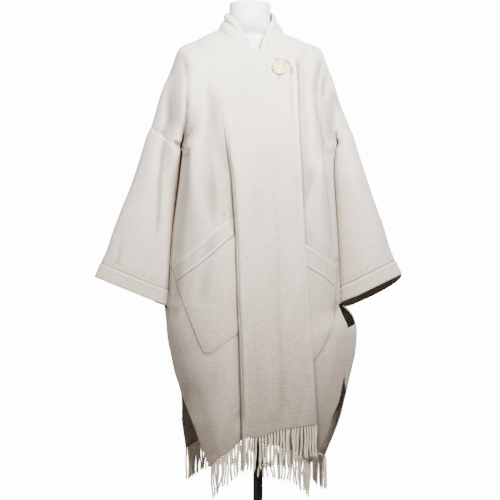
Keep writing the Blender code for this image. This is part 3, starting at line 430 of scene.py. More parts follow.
def depth_at(across, up, front):
    """Depth of the cloth's outer face in mm: full in the middle, turning to nothing at the outline."""
    rows = np.array(DEPTHS, dtype=float)[::-1]
    full = softened(up, rows[:, 0], rows[:, 1 if front else 2])
    turn = softened(up, rows[:, 0], rows[:, 3])
    arm = smooth((np.abs(across) - ARM_FROM) / (ARM_TO - ARM_FROM))
    arm = arm * smooth((up - ARM_LOW) / (ARM_HIGH - ARM_LOW))
    full = full * (1 - arm) + np.minimum(full, ARM_DEPTH) * arm
    outer = np.min([near_line(edge, across, up)[0] for edge in EDGES[:2]], axis=0)
    rounding = turned_share(outer / turn)
    inside = outer
    for edge, valley, high in ((EDGES[2], VALLEY_RIGHT, 1310), (EDGES[3], VALLEY_LEFT, 1270)):
        armpit = edge[0][1]
        above = up > armpit
        narrow = turn + (ARMPIT_TURN - turn) * smooth((up - armpit + 280) / 280)
        body_off = near_line(edge, across, up)[0]
        off = np.where(above, np.abs(across - across_at(curved(valley, 3), up)), body_off)
        fade = np.where(above, smooth((high - up) / (high - armpit)) ** 2.6, 1.0)
        sharp = turned_share(off / narrow)
        soft = VALLEY_FLOOR + (1 - VALLEY_FLOOR) * smooth(off / (1.3 * narrow))
        open_share = smooth((up - armpit) / VALLEY_OPENS)
        rounding = rounding * (1 - fade * (1 - sharp * (1 - open_share) - soft * open_share))
        inside = np.minimum(inside, np.where(above, np.maximum(body_off, off), body_off))
    lift = sum(fold_rise(fold, across, up) for fold in (FOLDS_FRONT if front else FOLDS_BACK))
    lift = lift + rise_of(CREASES_FRONT if front else CREASES_BACK, across, up)
    lift = lift + ripple(across, up, 0.4 if front else 2.2)
    return full * rounding + lift * smooth(inside / FOLD_FADE)


def gap_slant(across, up, depth):
    """Slants the narrow gaps between sleeves and body: the sleeve's front edge lies over the body's side."""
    slant = 0.0
    for gap, side in ((GAP_RIGHT, 1), (GAP_LEFT, -1)):
        off = np.abs(across - across_at(curved(gap, 3), up))
        near = smooth((GAP_SLANT_REACH - off) / (GAP_SLANT_REACH - 12))
        ends = smooth((gap[0][1] + 12 - up) / 24) * smooth((up - gap[-1][1] + 60) / 60)
        slant = slant + side * near * ends
    return -GAP_SLANT * slant * np.clip(depth / GAP_SLANT_DEPTH, -1, 1)


def true_points(across, up, depth):
    """Real places, in metres, of drawn points (mm) that lie so many mm behind the axis."""
    across = across + gap_slant(across, up, depth)
    scale = 1 + depth * MM / VIEW_DISTANCE
    return np.stack((FORM_X + across * MM * scale, depth * MM + 0 * across,
                     VIEW_HEIGHT + (up * MM - VIEW_HEIGHT) * scale), axis=-1)


def front_points(across, up, lift=0.0):
    return true_points(across, up, -depth_at(across, up, True) - 0.3 - lift)


def back_points(across, up, lift=0.0):
    return true_points(across, up, depth_at(across, up, False) + 0.3 + lift)


def lap_points(across, up, lift=0.0):
    return front_points(across, up, LAP_LIFT * smooth((across - LAP_START) / LAP_SOFT) + lift)


def new_material(name):
    material = bpy.data.materials.new(name)
    material.use_nodes = True
    return material


class Nodes:
    """Adds nodes to a material, or another tree, and joins them."""

    def __init__(self, tree):
        self.tree = tree

    def add(self, kind, inputs=(), **settings):
        node = self.tree.nodes.new(kind)
        for name, value in settings.items():
            setattr(node, name, value)
        for key, value in dict(inputs).items():
            socket = node.inputs[key]
            if isinstance(value, bpy.types.NodeSocket):
                self.tree.links.new(value, socket)
            else:
                socket.default_value = value
        return node

    def math(self, operation, a, b=0.0):
        return self.add("ShaderNodeMath", {0: a, 1: b}, operation=operation).outputs[0]

    def vector(self, operation, inputs):
        return self.add("ShaderNodeVectorMath", inputs, operation=operation).outputs[0]

    def mix(self, share, a, b, blend="MIX"):
        node = self.add("ShaderNodeMix", data_type="RGBA", blend_type=blend)
        for index, value in ((0, share), (6, a), (7, b)):
            if isinstance(value, bpy.types.NodeSocket):
                self.tree.links.new(value, node.inputs[index])
            else:
                node.inputs[index].default_value = value
        return node.outputs[2]

    def place(self, kind="Object"):
        return self.add("ShaderNodeTexCoord").outputs[kind]

    def noise(self, vector, scale, detail, **more):
        inputs = {"Vector": vector, "Scale": scale, "Detail": detail, **more}
        return self.add("ShaderNodeTexNoise", inputs).outputs["Fac"]

    def range(self, value, low, high, to_low=0.0, to_high=1.0):
        return self.add("ShaderNodeMapRange", {"Value": value, "From Min": low, "From Max": high,
                                               "To Min": to_low, "To Max": to_high}).outputs[0]


def paint(material, nodes, colour, bump, **inputs):
    """Joins colour and bump to the material's shader. inputs are its other inputs, with _ for a space."""
    strength, distance, height = bump
    shader = material.node_tree.nodes["Principled BSDF"]
    relief = nodes.add("ShaderNodeBump", {"Strength": strength, "Distance": distance, "Height": height})
    for name, value in dict(Base_Color=colour, Normal=relief.outputs[0], **inputs).items():
        socket = shader.inputs[name.replace("_", " ")]
        if isinstance(value, bpy.types.NodeSocket):
            material.node_tree.links.new(value, socket)
        else:
            socket.default_value = value
    return material


def wool_material(name, turn=0.0, tones=OUTSIDE_TONES):
    """Boiled wool: a level crinkle, felted fuzz, cloudy tone and a few dark specks. turn slants the grain.
    tones: at the shoulders, at the hem, in a cloud, in the crinkle's furrows and in a fold."""
    top, low, cloudy, furrow, fold = ((*tone, 1) for tone in tones)
    material = new_material(name)
    nodes = Nodes(material.node_tree)
    uv = nodes.place("UV")
    place = nodes.place()
    hollow = nodes.add("ShaderNodeAttribute", attribute_name="hollow").outputs["Fac"]
    grain = nodes.add("ShaderNodeMapping", {"Vector": uv, "Rotation": (0, 0, turn), "Scale": GRAIN_SCALE})
    crinkle = nodes.noise(grain.outputs[0], 1.0, 4.0, Roughness=0.6, Distortion=0.7)
    fuzz = nodes.noise(uv, 900.0, 3.0, Roughness=0.7)
    cloud = nodes.noise(place, 16.0, 4.0)
    height = nodes.add("ShaderNodeSeparateXYZ", {"Vector": place}).outputs["Z"]
    # Painted shade: the wool's tone darkens from the shoulders towards the hem.
    down = nodes.math("POWER", nodes.range(height, TONE_TOP, TONE_LOW), 0.72)
    # Painted shade in the crinkle's furrows, deeper towards the hem.
    furrow_shade = nodes.range(down, 0.2, 0.9, 0.12, 0.75)
    base = nodes.mix(down, top, low)
    base = nodes.mix(nodes.range(cloud, 0.35, 0.7, 0.0, 0.30), base, cloudy, "MULTIPLY")
    base = nodes.mix(nodes.math("MULTIPLY", nodes.range(crinkle, 0.58, 0.38), furrow_shade), base, furrow, "MULTIPLY")
    # The hollow attribute paints shade into folds and creases, and a highlight where it falls below nought.
    base = nodes.mix(nodes.range(hollow, 0.0, 1.0), base, fold, "MULTIPLY")
    base = nodes.mix(nodes.range(hollow, -0.2, -0.7, 0.0, 0.45), base, RIDGE_HIGHLIGHT_COLOUR)
    speck = nodes.add("ShaderNodeTexVoronoi", {"Vector": uv, "Scale": 75.0}, distance="EUCLIDEAN")
    chosen = nodes.add("ShaderNodeSeparateColor", {"Color": speck.outputs["Color"]}).outputs[0]
    dot = nodes.math("MULTIPLY", nodes.range(speck.outputs["Distance"], 0.075, 0.05),
                     nodes.range(chosen, 0.955, 0.965))
    base = nodes.mix(nodes.math("MULTIPLY", dot, 0.55), base, SPECK_COLOUR)
    deeper = nodes.math("MULTIPLY", crinkle, nodes.range(down, 0.2, 0.9, 0.7, 1.7))
    bumps = nodes.math("ADD", deeper, nodes.math("MULTIPLY", fuzz, 0.4))
    return paint(material, nodes, base, (0.6, 0.0020, bumps), Roughness=0.95, Specular_IOR_Level=0.15,
                 Sheen_Weight=0.15, Sheen_Roughness=0.6, Sheen_Tint=(1.0, 0.96, 0.90, 1))


def yarn_material():
    material = new_material("wool_yarn")
    nodes = Nodes(material.node_tree)
    place = nodes.place()
    strand = nodes.noise(place, 60.0, 2.0)
    fuzz = nodes.noise(place, 1500.0, 3.0)
    base = nodes.mix(nodes.range(strand, 0.3, 0.7), (0.76, 0.66, 0.51, 1), (0.63, 0.53, 0.39, 1))
    base = nodes.mix(nodes.range(fuzz, 0.65, 0.35, 0, 0.25), base, (0.52, 0.44, 0.34, 1))
    return paint(material, nodes, base, (0.6, 0.0008, fuzz), Roughness=0.95, Sheen_Weight=0.25)


def button_material():
    material = new_material("ivory_horn")
    nodes = Nodes(material.node_tree)
    place = nodes.place()
    vein = nodes.noise(place, 130.0, 5.0, Distortion=1.2)
    grit = nodes.noise(place, 620.0, 4.0)
    base = nodes.mix(nodes.range(vein, 0.3, 0.7), (0.84, 0.67, 0.33, 1), (0.62, 0.45, 0.19, 1))
    return paint(material, nodes, base, (0.25, 0.0006, grit), Roughness=0.38, Coat_Weight=0.25,
                 Subsurface_Weight=0.15, Subsurface_Radius=(0.004, 0.003, 0.002))


def plain_material(name, colour, rough, metallic, grain, depth):
    material = new_material(name)
    nodes = Nodes(material.node_tree)
    noise = nodes.noise(nodes.place(), grain, 4.0)
    base = nodes.mix(nodes.range(noise, 0.3, 0.7), (*colour, 1), (*(c * 0.93 for c in colour), 1))
    return paint(material, nodes, base, (0.3, depth, noise), Metallic=metallic,
                 Roughness=nodes.range(noise, 0.3, 0.7, rough * 0.9, rough * 1.1))


def grid_normals(points, closed):
    """Unit normals of a grid of points (rows, columns, 3), unsigned."""
    down = np.gradient(points, axis=0)
    if closed:
        beside = np.roll(points, -1, axis=1) - np.roll(points, 1, axis=1)
    else:
        beside = np.gradient(points, axis=1)
    normal = np.cross(beside, down)
    length = np.linalg.norm(normal, axis=-1, keepdims=True)
    return normal / np.maximum(length, 1e-12)


def blurred(values, reach, closed):
    """Mean of a grid's values over so many rows and columns on each side."""
    for axis in (0, 1):
        pad = [(0, 0)] * values.ndim
        pad[axis] = (reach, reach)
        wide = np.pad(values, pad, mode="wrap" if closed and axis == 1 else "edge")
        total = np.cumsum(wide, axis=axis)
        total = np.concatenate((np.zeros_like(np.take(total, [0], axis=axis)), total), axis=axis)
        size = 2 * reach + 1
        count = values.shape[axis]
        high = np.take(total, np.arange(size, size + count), axis=axis)
        low = np.take(total, np.arange(0, count), axis=axis)
        values = (high - low) / size
    return values


def hollow_share(points, normals, closed):
    """How deep each point lies in a fold or a stitched line: 1 at the bottom, under 0 on a ridge."""
    # The wool paints shade by this share, and a highlight where it is under 0.
    share = 0.0
    for reach, full, part in HOLLOW_SCALES:
        dip = -np.sum((points - blurred(points, reach, closed)) * normals, axis=-1)
        share = share + part * np.clip(dip / full, -0.4, 1)
    return share


def grid_mesh(name, points, material, hollow, closed=False, wall=WALL, bevel=SOFT_EDGE, inside=None):
    """A cloth piece: its outer face goes through a grid of points and its wall lies on the inner side. The
    grid's first row is its top, and its columns run so that the normals of grid_normals() point outwards."""
    rows, columns = points.shape[:2]
    count = columns + 1 if closed else columns
    index = np.arange(rows * columns).reshape(rows, columns)
    wrapped = np.concatenate((points, points[:, :1]), axis=1) if closed else points
    steps_across = np.linalg.norm(np.diff(wrapped, axis=1), axis=-1)
    middle = np.median(steps_across, axis=0)
    u = np.concatenate(([0.0], np.cumsum(middle)))
    steps_down = np.median(np.linalg.norm(np.diff(points, axis=0), axis=-1), axis=1)
    v = -np.concatenate(([0.0], np.cumsum(steps_down)))
    faces, corners = [], []
    for i in range(rows - 1):
        for j in range(count - 1):
            k = (j + 1) % columns
            faces.append((int(index[i, j]), int(index[i + 1, j]), int(index[i + 1, k]), int(index[i, k])))
            corners += [(u[j], v[i]), (u[j], v[i + 1]), (u[j + 1], v[i + 1]), (u[j + 1], v[i])]
    mesh = bpy.data.meshes.new(name)
    mesh.from_pydata(points.reshape(-1, 3).tolist(), [], faces)
    layer = mesh.uv_layers.new(name="cloth")
    layer.data.foreach_set("uv", np.array(corners, dtype=np.float32).ravel())
    # This attribute carries the painted shade and painted highlight to the wool.
    shade = mesh.attributes.new("hollow", "FLOAT", "POINT")
    shade.data.foreach_set("value", np.asarray(hollow, dtype=np.float32).ravel())
    mesh.polygons.foreach_set("use_smooth", [True] * len(mesh.polygons))
    if inside:
        mesh.materials.append(inside)
    mesh.materials.append(material)
    piece = add_object(name, mesh)
    weld = piece.modifiers.new("weld", "WELD")
    weld.merge_threshold = 0.00002
    solid = piece.modifiers.new("wall", "SOLIDIFY")
    solid.thickness = wall
    solid.offset = -1
    solid.use_even_offset = False
    # The darker inside wool, painted shade, goes on the inner face and the cut edges.
    solid.material_offset = solid.material_offset_rim = 1 if inside else 0
    edge = piece.modifiers.new("soft edge", "BEVEL")
    edge.width = bevel
    edge.segments = 2
    edge.limit_method = "ANGLE"
    edge.angle_limit = math.radians(60)
    edge.use_clamp_overlap = True
    return plain(piece)


def add_object(name, data):
    piece = bpy.data.objects.new(name, data)
    bpy.context.scene.collection.objects.link(piece)
    return piece


def plain(piece):
    """Turns what a piece's modifiers make into its own mesh."""
    view = bpy.context.evaluated_depsgraph_get()
    mesh = bpy.data.meshes.new_from_object(piece.evaluated_get(view))
    piece.modifiers.clear()
    piece.data = mesh
    mesh.name = piece.name
    return piece


def front_side(up, top, armpit, body, slit, side):
    """Outer border of a front in the drawing: armhole, seam, then the slit's edge. side is 1 on the left."""
    share = np.clip((up - armpit[1]) / (top[1] - armpit[1]), 0, 1)
    armhole = armpit[0] + (top[0] - armpit[0]) * share + side * ARMPIT_HALF
    below = np.where(up > slit[0][1], across_at(curved(body, 4), up), across_at(slit, up))
    return np.where(up >= armpit[1], armhole, below)


def side_right(up):
    return front_side(up, OUTER_RIGHT[ARMHOLE_TOP_RIGHT], GAP_RIGHT[0], BODY_RIGHT, FRONT_SIDE_RIGHT, 1)


def side_left(up):
    slit = curved(FRONT_SIDE_LEFT, 3)
    return front_side(up, OUTER_LEFT[ARMHOLE_TOP_LEFT], GAP_LEFT[0], BODY_LEFT, slit, -1)


def back_side_right(up):
    return np.where(up > GAP_RIGHT[0][1], side_right(up), across_at(curved(BODY_RIGHT, 4), up))


def back_side_left(up):
    return np.where(up > GAP_LEFT[0][1], side_left(up), across_at(curved(BODY_LEFT, 4), up))


def fold_line(name, shift=0.0):
    line = next(fold[1] for fold in FOLDS_FRONT if fold[0] == name)
    rows = curved(line)[::-1]
    return lambda up: np.interp(up, rows[:, 0], rows[:, 1]) + shift


def top_edge(neck, first, last, right, left):
    """Height of a panel's top edge: the neck curve between two places, the shoulders outside them."""
    neck_rows = curved(neck, 4)
    right_rows, left_rows = curved(right, 4), curved(left, 4)

    def height(across):
        found = up_at(neck_rows, across)
        found = np.where(across < first, up_at(right_rows, across), found)
        return np.where(across > last, up_at(left_rows, across), found)

    return height


SHOULDER_RIGHT = OUTER_RIGHT[:ARMHOLE_TOP_RIGHT + 1]
SHOULDER_LEFT = OUTER_LEFT[:ARMHOLE_TOP_LEFT + 1]


def column_places(guides, counts, spread):
    """Lines down the cloth: so many between two guides, closer to one of them where the spread isn't 1."""
    lines = []
    for left, right, count, power in zip(guides[:-1], guides[1:], counts, spread):
        for step in range(count):
            share = (step / count) ** power if power >= 1 else 1 - (1 - step / count) ** (1 / power)
            lines.append((left, right, share))
    lines.append((guides[-1], guides[-1], 0.0))
    return lines


def place_on(lines, up):
    """Places across of every line at heights up, an array (rows, lines)."""
    known = {}

    def read(guide):
        if id(guide) not in known:
            known[id(guide)] = guide(up)
        return known[id(guide)]

    out = np.empty_like(up)
    for j, (left, right, share) in enumerate(lines):
        out[:, j] = read(left)[:, j] * (1 - share) + read(right)[:, j] * share
    return out


def border_heights(lines, edge_of, inside, outside):
    """Height at which each line meets an edge, between a height inside the panel and one outside it."""
    inside = np.full((1, len(lines)), float(inside))
    outside = np.full((1, len(lines)), float(outside))
    above = outside > inside
    for _ in range(30):
        middle = (inside + outside) / 2
        edge = edge_of(place_on(lines, middle))
        kept = np.where(above, middle <= edge, middle >= edge)
        inside, outside = np.where(kept, middle, inside), np.where(kept, outside, middle)
    return inside[0]


def row_shares(count, power=1.45):
    """Shares from the top edge to the hem, closer at the top, where the cloth turns over the shoulder."""
    return np.linspace(0, 1, count) ** power


def panel_grid(guides, counts, spread, top_of, bottom_of, rows):
    """Drawn places (across, up) of a panel's grid."""
    lines = column_places(guides, counts, spread)
    top = border_heights(lines, top_of, *TOP_BETWEEN)
    bottom = border_heights(lines, bottom_of, *HEM_BETWEEN)
    up = top[None, :] + (bottom - top)[None, :] * row_shares(rows)[:, None]
    return place_on(lines, up), up


def outward_normals(points, closed, toward):
    """Grid normals, and whether the grid's columns must be turned round for them to point the right way."""
    normals = grid_normals(points, closed)
    total = float(np.sum(normals * toward))
    return (normals, False) if total > 0 else (-normals, True)


def fine_lift(points, normals, lift):
    return points + normals * (lift * MM)[..., None]


def groove(distance, at, half):
    """A soft line, pressed or raised: 1 where the distance is at, 0 beside it."""
    return smooth(1 - np.abs(distance - at) / half)


def pocket_rim(outline, across, up):
    """Shade on the cloth right beside a pocket's edge."""
    off = near_line(curved(outline["lower"], 5), across, up)[0]
    upper_off = near_line(curved(outline["mouth"], 5), across, up)[0]
    return 0.75 * smooth(1 - off / 6) + 0.30 * smooth(1 - upper_off / 7)


def make_front_right(wool, shaded_inside):
    side = fold_line("main tuck", -6)
    step = fold_line("main tuck", 4)
    lap = lambda up: across_at(curved(LAP_EDGE, 3), up)
    top = top_edge(NECK_RIGHT + LAP_TOP[1:], NECK_RIGHT[0][0], math.inf, SHOULDER_RIGHT, LAP_TOP)
    hem = lambda across: up_at(curved(HEM_RIGHT, 4), across)
    across, up = panel_grid((side_right, side, step, lap), (44, 10, 44), (1.5, 1, 1), top, hem, 250)
    points = lap_points(across, up)
    normals, _ = outward_normals(points, False, (0, -1, 0))
    rim_side = np.where(up < LAP_CORNER, lap(up) - across, FAR)
    rim_top = np.where(across > NECK_RIGHT[-1][0], up_at(curved(LAP_TOP, 4), across) - up, FAR)
    rim = np.minimum(rim_side, rim_top) + 6 * smooth((60 - across) / 50) * (up > LAP_CORNER - 10)
    lift = 0.6 * groove(rim, 4.5, 5) - 1.6 * smooth(1 - rim / 2.2)
    button_off = np.hypot(across - BUTTON_AT[0], up - BUTTON_AT[1])
    lift -= 1.6 * groove(button_off, 17, 9)
    pucker_angle = np.arctan2(up - BUTTON_AT[1], across - BUTTON_AT[0])
    lift += 1.2 * np.sin(5 * pucker_angle + 0.8) * groove(button_off, 28, 18)
    lift -= 0.6 * groove(across, side_right(up), 6) * (up > FRONT_SIDE_RIGHT[0][1])
    points = fine_lift(points, normals, lift)
    shade = 0.9 * smooth(1 - np.hypot(across - 61, up - 1322) / 5)
    shade = shade - 0.5 * groove(rim, 5, 5) * smooth((up - 1020) / 260)
    pucker_off = near_line(curved(PUCKER, 4), across, up)[0]
    shade = shade + 0.8 * smooth(1 - pucker_off / 7) * smooth((up - 1296) / 30)
    shade = shade + rise_of(SHADES_FRONT_RIGHT, across, up)
    shade = shade + pocket_rim(POCKET_RIGHT, across, up)
    return grid_piece("cloth_front_right", points, (0, -1, 0), wool, shade=shade, inside=shaded_inside)


def make_front_left(wool, shaded_inside):
    inner = lambda up: np.full_like(up, UNDER_EDGE)
    neck = lambda up: np.full_like(up, NECK_LEFT[-1][0])
    step_line = fold_line("sleeve step left", 0.0)

    def step_guide(shift):
        return lambda up: np.minimum(step_line(up) + shift,
                                     UNDER_EDGE + (side_left(up) - UNDER_EDGE) * (0.88 + shift * 0.006))

    top = top_edge(NECK_LEFT, -math.inf, NECK_LEFT[-1][0], SHOULDER_LEFT, SHOULDER_LEFT)
    hem = lambda across: up_at(curved(HEM_LEFT, 4), across)
    across, up = panel_grid((inner, neck, step_guide(-4), step_guide(5), side_left), (12, 26, 8, 26),
                            (1, 1, 1, 0.7), top, hem, 240)
    points = front_points(across, up)
    normals, _ = outward_normals(points, False, (0, -1, 0))
    lift = -1.0 * groove(across, side_left(up), 6) * (up > FRONT_SIDE_LEFT[0][1])
    points = fine_lift(points, normals, lift)
    beside_lap = across - across_at(curved(LAP_EDGE, 3), up)
    shade = 0.8 * groove(beside_lap, 0, 9) + 0.35 * groove(beside_lap, 4, 34)
    above_lap = np.where(across > LAP_TOP[-3][0], FAR, up - up_at(curved(LAP_TOP, 4), across))
    shade = shade * smooth((1362 - up) / 30) + pocket_rim(POCKET_LEFT, across, up)
    shade = shade + 0.55 * groove(above_lap, 0, 7) + rise_of(SHADES_FRONT_LEFT, across, up)
    shade = shade + 0.10 * smooth((up - 1180) / 120)
    shade = shade + 0.9 * smooth(1 - np.hypot((across - 224) / 0.8, up - 846) / 16)
    return grid_piece("cloth_front_left", points, (0, -1, 0), wool, shade=shade, inside=shaded_inside)


def make_back(wool, shaded_inside):
    left_neck = lambda up: np.full_like(up, NECK_BACK[0][0])
    right_neck = lambda up: np.full_like(up, NECK_BACK[-1][0])
    top = top_edge(NECK_BACK, NECK_BACK[0][0], NECK_BACK[-1][0], SHOULDER_RIGHT, SHOULDER_LEFT)
    hem = lambda across: up_at(curved(HEM_BACK, 4), across)
    guides = (back_side_right, left_neck, right_neck, back_side_left)
    across, up = panel_grid(guides, (34, 34, 34), (1.5, 1, 0.68), top, hem, 240)
    points = back_points(across, up)
    edge_up = up[:, -1]
    reach = across_at(curved(WRAP_EDGE, 3), edge_up)
    inside = (edge_up > WRAP_LOW) & (edge_up < WRAP_TOP)
    fade = smooth((WRAP_TOP - edge_up) / 22) * smooth((edge_up - WRAP_LOW) / 30) * inside
    blend = fade[:, None]
    wrap = []
    for share in WRAP_SHARES:
        bent = front_points(across[:, -1] + (reach - across[:, -1]) * share, edge_up)
        wrap.append(points[:, -1] * (1 - blend) + bent * blend + (1 - blend) * np.array(WRAP_STEP) * share)
    points = np.concatenate((points, np.stack(wrap, axis=1)), axis=1)
    allowance = (points[0] + np.array(SHOULDER_ALLOWANCE))[None]
    points = np.concatenate((allowance, points), axis=0)
    return grid_piece("cloth_back", points, (0, 1, 0), wool, inside=shaded_inside)


def make_sleeve(name, outer, gap, side, drop, wool, shaded_inside):
    outer_line = curved(((outer[0][0] + side * ARMPIT_HALF, outer[0][1]),) + tuple(outer[1:]), 5)
    inner_line = curved(beside_gap(gap, side), 5)
    rings, around = 150, 96
    shares = 0.0016 + (1 - 0.0016) * np.linspace(0, 1, rings) ** 1.1
    high, low = along(outer_line, shares), along(inner_line, shares)
    turn = 2 * math.pi * np.arange(around) / around
    part = (1 - np.cos(turn)) / 2
    drawn = high[:, None, :] + (low - high)[:, None, :] * part[None, :, None]
    bulge = np.abs(np.sin(turn))[None, :]
    front = (turn <= math.pi)[None, :]
    blend = smooth(shares / SLEEVE_BLEND)[:, None]
    half = (SLEEVE_DEPTH[0] + (SLEEVE_DEPTH[1] - SLEEVE_DEPTH[0]) * shares)[:, None]
    own = half * bulge
    folds = sum(fold_rise(fold, drawn[..., 0], drawn[..., 1]) for fold in FOLDS_FRONT)
    own = own + np.where(front, bulge * folds, 0.0)
    creases = SLEEVE_CREASES_RIGHT if side < 0 else SLEEVE_CREASES_LEFT
    fine = rise_of(creases, drawn[..., 0], drawn[..., 1])
    own = own + bulge * np.where(front, fine, 0.6 * fine)
    own = own + bulge * ripple(drawn[..., 0], drawn[..., 1], 1.1 * side)
    first = np.array(outer_line[0]) + (np.array(inner_line[0]) - np.array(outer_line[0])) * part[:, None]
    first[:, 0] -= side * 2 * ARMPIT_HALF
    seam = np.where(turn <= math.pi, depth_at(*first.T, True), depth_at(*first.T, False))
    seam[0] = seam[around // 2] = 0
    depth = seam[None, :] * (1 - blend) + own * blend
    up = drawn[..., 1] - np.where(front, 0.0, drop * bulge ** 0.6 * shares[:, None] ** 3)
    points = true_points(drawn[..., 0], up, np.where(front, -depth, depth))
    centre = points.mean(axis=1, keepdims=True)
    normals, _ = outward_normals(points, True, points - centre)
    reach = np.linalg.norm(np.diff(points, axis=0), axis=-1)
    from_cuff = np.concatenate((np.cumsum(reach[::-1], axis=0)[::-1], np.zeros((1, around))), axis=0) / MM
    lift = 0.9 * smooth((BAND - from_cuff) / 4) - 1.5 * groove(from_cuff, BAND, 3.2)
    lift -= 1.3 * smooth(1 - from_cuff / 1.8)
    lift -= 0.7 * smooth(1 - shares[:, None] / 0.012)
    ruck = np.sin(37 * turn + 3 * np.sin(5 * turn))[None, :] * groove(from_cuff, BAND + 12, 13)
    lift += 0.9 * groove(from_cuff, BAND - 5, 4.0) + 0.45 * ruck
    shade = 0.5 * groove(from_cuff, BAND + 1, 3.0) - 0.3 * groove(from_cuff, BAND - 5, 3.5)
    shade = shade + 0.8 * smooth(1 - from_cuff / 3.0)
    shade = shade + (0.15 if side < 0 else 0.05) * smooth(shares * 1.4)[:, None]
    shades = SHADES_SLEEVE_RIGHT if side < 0 else SHADES_SLEEVE_LEFT
    shade = shade + np.where(front, 1.0, 0.5) * rise_of(shades, drawn[..., 0], drawn[..., 1])
    points = fine_lift(points, normals, lift)
    toward = points[0] - points[3]
    toward /= np.linalg.norm(toward, axis=-1, keepdims=True)
    allowance = points[0] + toward * 0.006 - normals[0] * 0.0036
    points = np.concatenate((allowance[None], points), axis=0)
    toward = points - points.mean(axis=1, keepdims=True)
    shade = np.concatenate((shade[:1], shade), axis=0)
    return grid_piece(name, points, toward, wool, closed=True, shade=shade, inside=shaded_inside)


def grid_piece(name, points, toward, wool, closed=False, shade=0.0, **settings):
    normals, turned = outward_normals(points, closed, toward)
    # Depth in folds and the given shade add up to the painted shade; below nought it paints a highlight.
    hollow = hollow_share(points, normals, closed) + shade
    if turned:
        points, hollow = points[:, ::-1], hollow[:, ::-1]
    return grid_mesh(name, points, wool, hollow, closed, **settings)


def make_collar(wool):
    neck_right = curved(NECK_RIGHT, 8)[::-1]
    neck_back = curved(NECK_BACK, 12)
    neck_left = curved(NECK_LEFT, 8)[::-1]
    low = np.concatenate((lap_points(*neck_right.T), back_points(*neck_back.T), front_points(*neck_left.T)))
    keep = np.concatenate(([True], np.linalg.norm(np.diff(low, axis=0), axis=1) > 0.0008))
    low = low[keep]
    low = along(low, np.linspace(0, 1, 190))
    for _ in range(6):
        low[1:-1] = (low[:-2] + 2 * low[1:-1] + low[2:]) / 4
    share = np.linspace(0, 1, len(low))
    table = curved(COLLAR_TOP, 6)
    high = true_points(*(np.interp(share, table[:, 0], table[:, k]) for k in (1, 2, 3)))
    run = low - np.array((FORM_X, 0, 0))
    run[:, 2] = 0
    away = run / np.linalg.norm(run, axis=1, keepdims=True)
    rows = []
    levels = np.linspace(-0.16, 1, 26)
    for level in levels:
        bow = 0.0016 * math.sin(math.pi * max(level, 0)) - 0.0034 * (level < -0.01)
        bow -= 0.0046 * math.exp(-((level - 0.58) / 0.15) ** 2)
        bow += 0.0018 * math.exp(-((level - 0.87) / 0.12) ** 2)
        rows.append(low + (high - low) * level + away * bow)
    points = np.stack(rows[::-1])
    normals, _ = outward_normals(points, False, away[None])
    tall = np.linalg.norm(high - low, axis=1)[None, :] / MM
    from_top = (1 - levels[::-1])[:, None] * tall
    lift = 0.7 * groove(from_top, 5, 5) - 1.4 * smooth(1 - from_top / 2.0)
    lift = lift - 0.3 * groove(from_top, tall - 1.5, 3.0)
    points = fine_lift(points, normals, lift)
    return grid_piece("cloth_collar", points, away[None], wool, wall=0.0042)


def make_pocket(name, outline, band, place, wool):
    upper, lower = curved(outline["upper"], 5), curved(outline["lower"], 5)
    first, last = outline["upper"][0][0], outline["upper"][-1][0]
    across = np.linspace(first + 0.5, last - 0.5, 90)
    top, bottom = up_at(upper, across), up_at(lower, across)
    share = np.linspace(0, 1, 96)[:, None]
    up = top + (bottom - top) * share
    spread = np.broadcast_to(across, up.shape).copy()
    outer_off = near_line(lower, spread, up)[0]
    upper_off = near_line(curved(outline["mouth"], 5), spread, up)[0]
    hug = smooth(outer_off / 5.0)
    lift = 0.4 + POCKET_LIFT * hug
    mouth = smooth(1 - upper_off / 30) * smooth(np.minimum(outer_off, 60) / 40)
    lift = lift + 1.6 * mouth
    lift = lift + 1.3 * smooth((band - upper_off) / 3.5) * hug - 1.6 * groove(upper_off, band + 1, 3.2) * hug
    lift = lift + 0.8 * groove(upper_off, band - 5, 4.0) * hug + 0.8 * groove(upper_off, 4, 4.0)
    lift = lift - 0.8 * groove(outer_off, 8.0, 2.6) + 0.5 * ripple(spread * 1.7, up * 1.3, 2.7) * hug
    lift = lift - 1.0 * smooth(1 - upper_off / 1.8)
    points = place(spread, up, lift)
    shade = 0.7 * groove(upper_off, band + 1.5, 3.5) * hug - 0.45 * groove(upper_off, 2.5, 3.5)
    shade = shade - 0.5 * groove(upper_off, band - 4, 3.0) * hug + 0.6 * smooth(1 - outer_off / 3.0) + 0.07
    return grid_piece(name, points, (0, -1, 0), wool, wall=0.0022, bevel=0.0007, shade=shade)


def ringed_body(name, rings, material, place=None):
    """A body through rings of (x, y, z) corners; a ring of one corner closes an end."""
    bm = bmesh.new()
    made = [[bm.verts.new(corner) for corner in ring] for ring in rings]
    sides = max(len(ring) for ring in rings)
    for a, b in zip(made[:-1], made[1:]):
        for i in range(sides):
            j = (i + 1) % sides
            corners = list(dict.fromkeys([a[i % len(a)], a[j % len(a)], b[j % len(b)], b[i % len(b)]]))
            if len(corners) >= 3:
                bm.faces.new(corners)
    bmesh.ops.recalc_face_normals(bm, faces=bm.faces[:])
    if place:
        bmesh.ops.transform(bm, matrix=place, verts=bm.verts[:])
    mesh = bpy.data.meshes.new(name)
    bm.to_mesh(mesh)
    bm.free()
    mesh.polygons.foreach_set("use_smooth", [True] * len(mesh.polygons))
    mesh.materials.append(material)
    return add_object(name, mesh)


def ring_turns(sides):
    return [2 * math.pi * i / sides for i in range(sides)]


